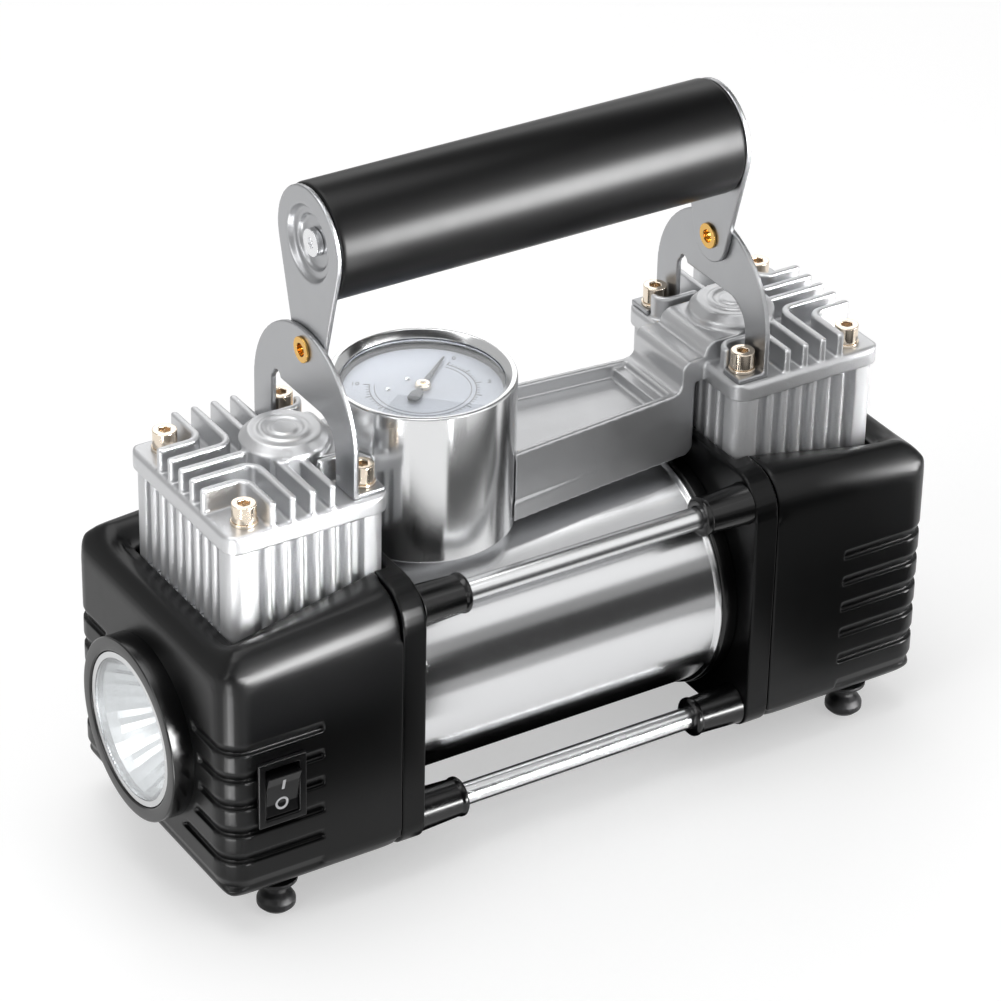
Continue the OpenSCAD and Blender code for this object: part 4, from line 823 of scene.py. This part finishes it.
@dataclass
class Castings:
    """Heads, cylinder blocks, housings and end plates.

    Within the zone of heights a housing's roof falls to its outer end, and rolls in beside the block.
    """

    shop: Workshop
    head_grid: float = 0.42
    housing_grid: float = 0.45
    plate_grid: float = 0.5
    roof_zone: Pair = (78.0, 92.0)
    roof_fall: float = 4.0
    roof_roll: float = 7.5
    roll_width: float = 10.0
    soft_passes: int = 40
    clear_of_block: float = 3.0
    roof_corner: float = 71.0
    foot_corner: float = 5.5

    def build(self) -> None:
        """Make the cast and moulded bodies."""
        for end in ("front", "rear"):
            self.shop.skin(f"{end}_head", f"{end}_head_cast", "cast_aluminium", "machine",
                           self.head_grid, 4)
            self.shop.skin(f"{end}_cylinder", f"{end}_cylinder_cast", "block_aluminium", "machine",
                           self.head_grid, 3)
            self.shop.skin(f"{end}_housing", f"{end}_housing_shell", "housing_black", "machine",
                           self.housing_grid, 3, partial(self._roll_roof, end))
            self.shop.skin(f"{end}_end_plate", f"{end}_plate", "plate_black", "machine",
                           self.plate_grid, 3)

    def _roll_roof(self, end: str, bm: bmesh.types.BMesh) -> None:
        """Let a housing's roof fall to its outer end and roll in round the block, and round its corners.

        Args:
            end: Which housing it is, front or rear.
            bm: The housing's mesh, in millimetres.
        """
        low, high = extent(f"{end}_housing")
        block_low, block_high = extent(f"{end}_cylinder")
        way = -1 if end == "front" else 1
        inner, outer = (high.x, low.x) if way < 0 else (low.x, high.x)
        face = block_low.x if way < 0 else block_high.x
        corners = []
        for vert in bm.verts:
            x, y, z = vert.co
            aside = math.hypot(max(0.0, way * (x - face)), max(0.0, abs(y) - block_high.y))
            along = (x - inner) / (outer - inner)
            height = smooth_step(*self.roof_zone, z)
            roll = self.roof_roll * (1.0 - smooth_step(0.0, self.roll_width, aside))
            vert.co.z = z - height * along * (self.roof_fall + roll)
            above = z - low.z
            if aside > self.clear_of_block and (above > self.roof_corner or above < self.foot_corner):
                corners.append(vert)
        for _ in range(self.soft_passes):
            bmesh.ops.smooth_vert(bm, verts=corners, factor=0.5, use_axis_x=True, use_axis_y=True,
                                  use_axis_z=True)


@dataclass
class Gauge:
    """Round pressure gauge: chrome shell, dark ring, dial with its scale, pointer and glass.

    Each arc is its share of the dial's radius and its width, each tick its length and half its width,
    and each screw its angle in degrees and its distance from the hub.
    """

    shop: Workshop
    rim: float = 1.6
    bevel: float = 1.8
    wall: float = 1.4
    scale_start: float = 32.0
    scale_sweep: float = 250.0
    arcs: tuple[Pair, Pair] = ((0.66, 0.24), (0.60, 0.2))
    ticks: int = 50
    long_every: int = 5
    number_every: int = 10
    long_tick: Pair = (1.9, 0.16)
    short_tick: Pair = (1.1, 0.09)
    number_size: float = 2.5
    number_place: float = 0.85
    number_turn: float = -32.5
    skin: float = 0.06
    screw_spots: tuple[Pair, Pair] = ((100.0, 6.6), (154.0, 9.8))
    pointer_turn: float = 39.0
    pointer_reach: float = 17.0
    pointer_tail: float = 9.0
    hub_r: float = 2.3

    def build(self) -> None:
        """Make the gauge's pieces."""
        low, high = extent("gauge_shell")
        self.centre = centre_of("gauge_dial")
        self.outer = (high.x - low.x) / 2
        self._shell(low.z, high.z)
        self._ring(high.z)
        self._glass()
        self._scale()
        self._pointer()

    def _at(self, z: float = 0.0) -> Vector:
        """Point on the gauge's axis, at a height in millimetres."""
        return Vector((self.centre.x, self.centre.y, z))

    def _set(self, name: str, bm: bmesh.types.BMesh, slot: str, body: str, *nodes: str) -> None:
        """Finish a turned piece on the gauge's axis."""
        self.shop.finish(name, aim(bm, Axis.Z, self._at()), slot, body, *nodes)

    def _shell(self, low: float, high: float) -> None:
        """Turn the chrome shell with its flat rim and inner bevel."""
        r, w = self.outer, self.wall
        inner = r - self.rim - self.bevel
        outline = [(0.0, low), (r - 0.8, low), (r, low + 0.8), (r, high - 0.4), (r - 0.4, high),
                   (r - self.rim, high), (inner, high - self.bevel), (inner, high - 2.2),
                   (r - w, high - 2.2), (r - w, low + 2.0), (0.0, low + 2.0)]
        bm = spun(outline, steps=160, soft=0.18, closed=True)
        self._set("gauge_shell_turned", bm, "chrome", "machine", "gauge_shell")

    def _ring(self, high: float) -> None:
        """Turn the dark ring between the rim and the dial."""
        dial_low, dial_high = extent("gauge_dial")
        dial_r = (dial_high.x - dial_low.x) / 2
        outer = self.outer - self.wall - 0.1
        glass_low, _ = extent("gauge_glass")
        outline = [(dial_r + 0.1, dial_low.z), (outer, dial_low.z), (outer, high - 2.5),
                   (outer - 1.3, high - 2.5), (outer - 1.8, glass_low.z - 0.1),
                   (dial_r + 0.7, glass_low.z - 0.1), (dial_r + 0.1, glass_low.z - 0.8)]
        bm = spun(outline, steps=128, soft=0.12)
        self._set("gauge_ring_turned", bm, "bezel_black", "machine", "gauge_bezel")

    def _glass(self) -> None:
        """Turn the glass, a little domed."""
        low, high = extent("gauge_glass")
        r = (high.x - low.x) / 2
        outline = [(0.0, low.z), (r, low.z), (r, high.z - 0.35), (r * 0.7, high.z - 0.12), (0.0, high.z)]
        bm = spun(outline, steps=96, soft=0.0, closed=False)
        self._set("gauge_glass_disc", bm, "gauge_glass", "machine", "gauge_glass")

    def _tick_angle(self, tick: int) -> float:
        """Direction of a tick from the hub, in radians."""
        return math.radians(self.scale_start - self.scale_sweep * tick / self.ticks)

    def _spot(self, angle: float, reach: float, level: float) -> Vector:
        """Point at an angle and a distance from the hub, at a height in millimetres."""
        return self._at(level) + Vector((math.cos(angle), math.sin(angle), 0.0)) * reach

    def _scale(self) -> None:
        """Print the scale, two arcs with ticks outside them and plain numbers, and set the screws."""
        _, top = extent("gauge_dial")
        dial_r = top.x - self.centre.x
        parts = [self._arc(dial_r * share, width, top.z) for share, width in self.arcs]
        inner = dial_r * self.arcs[0][0]
        for k in range(self.ticks + 1):
            reach, half = self.short_tick if k % self.long_every else self.long_tick
            outer = inner + reach
            tick = prism([(inner, -half), (outer, -half), (outer, half), (inner, half)], 0.0, self.skin)
            turn = Matrix.Rotation(self._tick_angle(k), 3, "Z")
            bmesh.ops.rotate(tick, cent=(0, 0, 0), matrix=turn, verts=tick.verts)
            bmesh.ops.translate(tick, vec=self._at(top.z), verts=tick.verts)
            parts.append(tick)
        self.shop.finish("gauge_scale", joined(parts), "needle_grey", "machine")
        for k in range(0, self.ticks + 1, self.number_every):
            spot = self._spot(self._tick_angle(k), dial_r * self.number_place, top.z + self.skin / 2)
            self._number(str(k // self.long_every), spot)
        self._dial_screws(top.z)

    def _dial_screws(self, level: float) -> None:
        """Turn the two small screws that hold the dial.

        Args:
            level: Height of the dial's face.
        """
        head = [(0.0, 0.0), (0.9, 0.0), (0.9, 0.2), (0.5, 0.5), (0.0, 0.6)]
        screws = [aim(spun(head, steps=24, soft=0.0, closed=False), Axis.Z,
                      self._spot(math.radians(turn), reach, level))
                  for turn, reach in self.screw_spots]
        self.shop.finish("dial_screws", joined(screws), "ground_steel", "machine")

    def _arc(self, radius: float, width: float, level: float) -> bmesh.types.BMesh:
        """Turn one printed arc of the scale.

        Args:
            radius: Its inner radius.
            width: Its width.
            level: Height of the dial's face.

        Returns:
            The arc's mesh.
        """
        bm = bmesh.new()
        corners = [(radius, 0.0), (radius + width, 0.0), (radius + width, self.skin), (radius, self.skin)]
        section = bm.faces.new([bm.verts.new((x, 0.0, z)) for x, z in corners])
        bmesh.ops.spin(bm, geom=[section], cent=(0, 0, 0), axis=(0, 0, 1),
                       angle=-math.radians(self.scale_sweep), steps=90)
        turn = Matrix.Rotation(math.radians(self.scale_start), 3, "Z")
        bmesh.ops.rotate(bm, cent=(0, 0, 0), matrix=turn, verts=bm.verts)
        bmesh.ops.recalc_face_normals(bm, faces=bm.faces)
        bmesh.ops.translate(bm, vec=self._at(level), verts=bm.verts)
        return bm

    def _number(self, words: str, spot: Vector) -> None:
        """Print one plain number on the dial.

        Args:
            words: The number.
            spot: Its middle.
        """
        curve = bpy.data.curves.new("number", "FONT")
        curve.body = words
        curve.align_x = "CENTER"
        curve.align_y = "CENTER"
        curve.size = self.number_size
        curve.extrude = self.skin / 2
        holder = bpy.data.objects.new("number", curve)
        bpy.context.scene.collection.objects.link(holder)
        graph = bpy.context.evaluated_depsgraph_get()
        mesh = bpy.data.meshes.new_from_object(holder.evaluated_get(graph), depsgraph=graph)
        bpy.data.objects.remove(holder)
        bm = bmesh.new()
        bm.from_mesh(mesh)
        bpy.data.meshes.remove(mesh)
        facing = Matrix.Rotation(math.radians(self.number_turn), 4, "Z")
        bmesh.ops.transform(bm, matrix=Matrix.Translation(spot) @ facing, verts=bm.verts)
        self.shop.finish(f"dial_number_{words}", bm, "needle_grey", "machine")

    def _pointer(self) -> None:
        """Shape the pointer with its broad tail, and its hub."""
        low, high = extent("gauge_needle")
        reach, tail = self.pointer_reach, self.pointer_tail
        blade = prism([(reach, 0.22), (reach, -0.22), (2.0, -0.8), (-3.4, -0.8), (-4.6, -1.7), (-8.0, -1.7),
                       (-tail, -1.1), (-tail, 1.1), (-8.0, 1.7), (-4.6, 1.7), (-3.4, 0.8), (2.0, 0.8)],
                      low.z + 0.3, low.z + 0.95, soft=0.1)
        turn = Matrix.Rotation(math.radians(self.pointer_turn), 3, "Z")
        bmesh.ops.rotate(blade, cent=(0, 0, 0), matrix=turn, verts=blade.verts)
        bmesh.ops.translate(blade, vec=self._at(), verts=blade.verts)
        self.shop.finish("gauge_pointer", blade, "needle_grey", "needle", "gauge_needle")
        outline = [(0.85, low.z), (self.hub_r, low.z), (self.hub_r, high.z - 0.5),
                   (self.hub_r - 0.5, high.z), (0.9, high.z), (0.8, high.z - 0.4), (0.0, high.z - 0.4)]
        hub = spun(outline, steps=48, soft=0.1, closed=False)
        self._set("gauge_hub", hub, "screw_nickel", "needle")


@dataclass
class MotorBay:
    """Motor can, its end ring, the tie rods and their sleeves."""

    shop: Workshop
    rod_r: float = 3.3
    sleeve_len: float = 15.9
    can_lip: float = 1.0
    can_wall: float = 1.8
    ring_wall: float = 3.2

    def build(self) -> None:
        """Make the bright pieces between the end plates."""
        self._can()
        self._end_ring()
        self._rods()
        self._sleeves()

    def _rod_places(self) -> list[tuple[float, float]]:
        """Y and Z of the four rods' axes, in millimetres."""
        low, high = extent("tie_rods")
        r = self.rod_r
        return [(y, z) for y in (low.y + r, high.y - r) for z in (low.z + r, high.z - r)]

    def _rods(self) -> None:
        """Turn the four bright rods that hold both ends together."""
        low, high = extent("tie_rods")
        length, r = high.x - low.x, self.rod_r
        outline = [(0.0, 0.0), (r, 0.0), (r, length), (0.0, length)]
        parts = [aim(spun(outline, steps=64, soft=0.4, closed=False), Axis.X, Vector((low.x, y, z)))
                 for y, z in self._rod_places()]
        self.shop.finish("tie_rods_turned", joined(parts), "ground_steel", "machine", "tie_rods")

    def _can(self) -> None:
        """Turn the can with a rolled lip at its rear end."""
        lip_r, length, start = lying("motor_can")
        r = lip_r - self.can_lip
        inner = r - self.can_wall
        outline = [(inner, 0.0), (r, 0.0), (r, length - 1.8), (lip_r - 0.3, length - 1.2),
                   (lip_r, length - 0.7), (lip_r, length), (inner, length)]
        bm = spun(outline, steps=192, soft=0.15)
        self.shop.finish("motor_can_tube", aim(bm, Axis.X, start), "motor_steel", "machine", "motor_can")

    def _end_ring(self) -> None:
        """Turn the black ring at the can's rear end."""
        r, length, start = lying("motor_end_ring")
        inner = r - self.ring_wall
        outline = [(inner, 0.0), (r - 0.8, 0.0), (r, 0.8), (r, length), (inner, length)]
        bm = spun(outline, steps=128, soft=0.2)
        self.shop.finish("motor_ring_turned", aim(bm, Axis.X, start), "gloss_black", "machine",
                         "motor_end_ring")

    def _sleeves(self) -> None:
        """Turn the eight flared sleeves that the rods stand in."""
        low, high = extent("tie_rod_sleeves")
        middle_x, reach = (low.x + high.x) / 2, (high.x - low.x) / 2
        bore, tip = self.rod_r + 0.1, self.sleeve_len
        outline = [(bore, 0.0), (5.2, 0.0), (5.9, 0.7), (5.9, 1.6), (5.55, 2.3), (6.15, tip - 0.9),
                   (6.4, tip), (bore, tip)]
        parts = []
        for end, axis in ((-1, Axis.MINUS_X), (1, Axis.X)):
            for y, z in self._rod_places():
                foot = Vector((middle_x + end * (reach - tip), y, z))
                parts.append(aim(spun(outline, steps=64, soft=0.2), axis, foot))
        self.shop.finish("tie_rod_sleeves_turned", joined(parts), "gloss_black", "machine",
                         "tie_rod_sleeves")


@dataclass
class Handle:
    """Folding grip on its two arms."""

    shop: Workshop
    wall: float = 1.6
    sheet_grid: float = 0.33

    def build(self) -> None:
        """Make the grip and the sheet-metal arms and brackets."""
        r, length, start = lying("handle_grip")
        inner = r - self.wall
        outline = [(inner, 0.0), (r - 1.1, 0.0), (r - 0.25, 0.5), (r, 1.5), (r, length - 1.5),
                   (r - 0.25, length - 0.5), (r - 1.1, length), (inner, length)]
        bm = spun(outline, steps=160, soft=0.15)
        self.shop.finish("handle_tube", aim(bm, Axis.X, start), "grip_black", "handle", "handle_grip")
        for end in ("front", "rear"):
            for part, body in (("arm", "handle"), ("bracket", "machine")):
                self.shop.skin(f"{end}_{part}", f"{end}_{part}_pressed", "sheet_steel", body,
                               self.sheet_grid, 2, most=SMALL_PIECE_TRIANGLES)


@dataclass
class Lamp:
    """Work lamp in the front face."""

    shop: Workshop
    facets: int = 56
    rings: int = 10
    dimple: float = 0.5
    lip: float = 3.1
    bulb_hole_r: float = 4.0
    bowl_wall: float = 0.7
    bowl_foot: float = 0.8
    plain_edge: float = 1.5
    plain_foot: float = 1.0

    def build(self) -> None:
        """Make the bezel, the faceted reflector and the lens."""
        self._bezel()
        self._reflector()
        self._lens()

    def _place(self, x: float) -> Vector:
        """Point on the lamp's axis at a given X, in millimetres."""
        centre = centre_of("lamp_lens")
        return Vector((x, centre.y, centre.z))

    def _set(self, name: str, bm: bmesh.types.BMesh, slot: str, x: float, node: str,
             crease: float = 38.0) -> None:
        """Finish a turned piece that stands for a node, facing forward from a given X."""
        self.shop.finish(name, aim(bm, Axis.MINUS_X, self._place(x)), slot, "machine", node, crease=crease)

    def _bezel(self) -> None:
        """Turn the glossy bezel."""
        low, high = extent("lamp_bezel")
        r = (high.z - low.z) / 2
        depth = high.x - low.x
        lens_low, lens_high = extent("lamp_lens")
        lens_r = (lens_high.z - lens_low.z) / 2
        neck = depth - 6.6
        outline = [(lens_r - 1.0, 0.0), (lens_r + 1.9, 0.0), (lens_r + 1.9, neck), (r, neck),
                   (r, depth - 0.3), (r - 0.3, depth), (lens_r + 0.5, depth), (lens_r + 0.1, depth - 0.4),
                   (lens_r + 0.1, depth - 3.6), (lens_r - 1.0, depth - 4.2)]
        bm = spun(outline, steps=160, soft=0.12)
        self._set("lamp_bezel_turned", bm, "gloss_black", high.x, "lamp_bezel")

    def _reflector(self) -> None:
        """Turn the bright bowl and press its facets."""
        low, high = extent("lamp_reflector")
        r = (high.z - low.z) / 2
        depth = high.x - low.x
        wall, foot, hole_r = self.bowl_wall, self.bowl_foot, self.bulb_hole_r
        bowl_r = r - wall
        inner = [(hole_r + (bowl_r - hole_r) * k / self.rings,
                  (depth - 2 * foot) * (k / self.rings) ** 2 + foot) for k in range(self.rings + 1)]
        outer = [(radius + wall, height - foot) for radius, height in reversed(inner)]
        collar = [(bowl_r, depth + self.lip), (r + 1.0, depth + self.lip), (r + 1.0, depth + 0.2),
                  (r, depth)]
        bm = spun(inner + collar + outer, steps=self.facets, soft=0.0)
        step = math.tau / self.facets
        for vert in bm.verts:
            odd = round(math.atan2(vert.co.y, vert.co.x) / step) % 2
            if odd and vert.co.z < depth - self.plain_edge:
                vert.co.z -= self.dimple * math.hypot(vert.co.x, vert.co.y) / r
        lowest = [vert for vert in bm.verts if vert.co.z < self.plain_foot]
        bmesh.ops.translate(bm, vec=(0.0, 0.0, self.dimple), verts=lowest)
        self._set("lamp_bowl", bm, "reflector", high.x, "lamp_reflector", crease=6.0)

    def _lens(self) -> None:
        """Turn the thin clear lens, a little domed, that lies inside the bowl's collar."""
        low, high = extent("lamp_lens")
        bowl_low, bowl_high = extent("lamp_reflector")
        r = (bowl_high.z - bowl_low.z) / 2 - 0.8
        depth = high.x - low.x + 0.9
        outline = [(0.0, depth - 1.5), (r, depth - 1.9), (r, depth - 0.4), (r * 0.8, depth - 0.2),
                   (r * 0.4, depth - 0.05), (0.0, depth)]
        bm = spun(outline, steps=96, soft=0.0, closed=False)
        self._set("lamp_lens_disc", bm, "lamp_lens", high.x, "lamp_lens")


@dataclass
class Switch:
    """Rocker switch with its two generic marks."""

    shop: Workshop
    bar: Pair = (0.42, 1.8)
    ring: Pair = (1.35, 2.05)
    proud: float = 0.06
    mark_place: float = 0.24
    look_from: float = 5.0

    def build(self) -> None:
        """Make the frame, the rocker and the marks."""
        self.shop.skin("switch_frame", "switch_frame_moulded", "switch_black", "machine", 0.22, 2)
        self.shop.skin("switch_rocker", "switch_rocker_moulded", "switch_black", "rocker", 0.2, 2)
        half_x, half_z = self.bar
        corners = [(-half_x, -half_z), (half_x, -half_z), (half_x, half_z), (-half_x, half_z)]
        inner, outer = self.ring
        hoop = [(inner, -self.proud), (outer, -self.proud), (outer, self.proud), (inner, self.proud)]
        self._mark("switch_on_mark", prism(corners, -self.proud, self.proud), self.mark_place)
        self._mark("switch_off_mark", spun(hoop, steps=48, soft=0.0), -self.mark_place)

    def _mark(self, name: str, bm: bmesh.types.BMesh, up: float) -> None:
        """Lay one mark on the rocker's face, which it follows.

        Args:
            name: The mark's name.
            bm: Its mesh, flat on Z.
            up: Its place above the rocker's middle, as a share of the rocker's height.
        """
        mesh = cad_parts["switch_rocker"].data
        face = BVHTree.FromPolygons([v.co for v in mesh.vertices], [p.vertices for p in mesh.polygons])
        low, high = extent("switch_rocker")
        height = (low.z + high.z) / 2 + up * (high.z - low.z)
        middle = Vector(((low.x + high.x) / 2, low.y - self.look_from, height))
        for vert in bm.verts:
            start = middle + Vector((vert.co.x, 0.0, vert.co.y))
            spot, normal, _, _ = face.ray_cast(start * MM, Vector(Axis.Y.value))
            vert.co = spot / MM + normal * vert.co.z
        bmesh.ops.recalc_face_normals(bm, faces=bm.faces)
        self.shop.finish(name, bm, "dial_face", "rocker", look="print_white")


@dataclass
class Fittings:
    """Fasteners, eyelets, feet, gland and outlet."""

    shop: Workshop

    def build(self) -> None:
        """Make each group of small pieces with its edges rounded."""
        rows = (
            ("head_screws", "screw_nickel", "machine", 0.17, 2),
            ("head_washers", "screw_nickel", "machine", 0.17, 1),
            ("handle_screws", "ground_steel", "handle", 0.14, 2),
            ("pivot_eyelets", "brass", "machine", 0.12, 1),
            ("feet", "rubber", "machine", 0.3, 2),
            ("cord_gland", "rubber", "machine", 0.25, 2),
            ("hose_outlet", "brass", "machine", 0.2, 2),
            ("air_block", "block_aluminium", "machine", 0.35, 2),
        )
        for node, slot, body, voxel, passes in rows:
            self.shop.skin(node, f"{node}_finished", slot, body, voxel, passes, most=SMALL_PIECE_TRIANGLES)


KEPT = {
    "ferrite": ("field_magnets",),
    "core_steel": ("armature_core",),
    "copper": ("armature_windings", "commutator"),
    "ground_steel": ("motor_shaft", "shaft_bearings", "front_crank", "rear_crank", "front_rod_bearing",
                     "rear_rod_bearing", "valve_plates", "valve_reeds"),
    "phenolic": ("brush_plate",),
    "carbon": ("brushes",),
    "block_aluminium": ("front_crankcase", "rear_crankcase", "front_piston", "rear_piston"),
    "gasket": ("head_gaskets",),
    "seal": ("front_cup_seal", "rear_cup_seal"),
    "brass": ("gauge_movement",),
    "inner_plastic": ("handle_plugs", "lamp_board"),
    "dial_face": ("gauge_dial",),
}


def main() -> None:
    """Build the studio and the dressed object."""
    logging.basicConfig(level=logging.INFO, format="%(name)s %(message)s")
    Studio().build()
    shop = Workshop(Paint(FINISHES))
    shop.dress(KEPT)
    for assembly in (Castings, MotorBay, Gauge, Handle, Lamp, Switch, Fittings):
        assembly(shop).build()


if __name__ == "__main__":
    main()
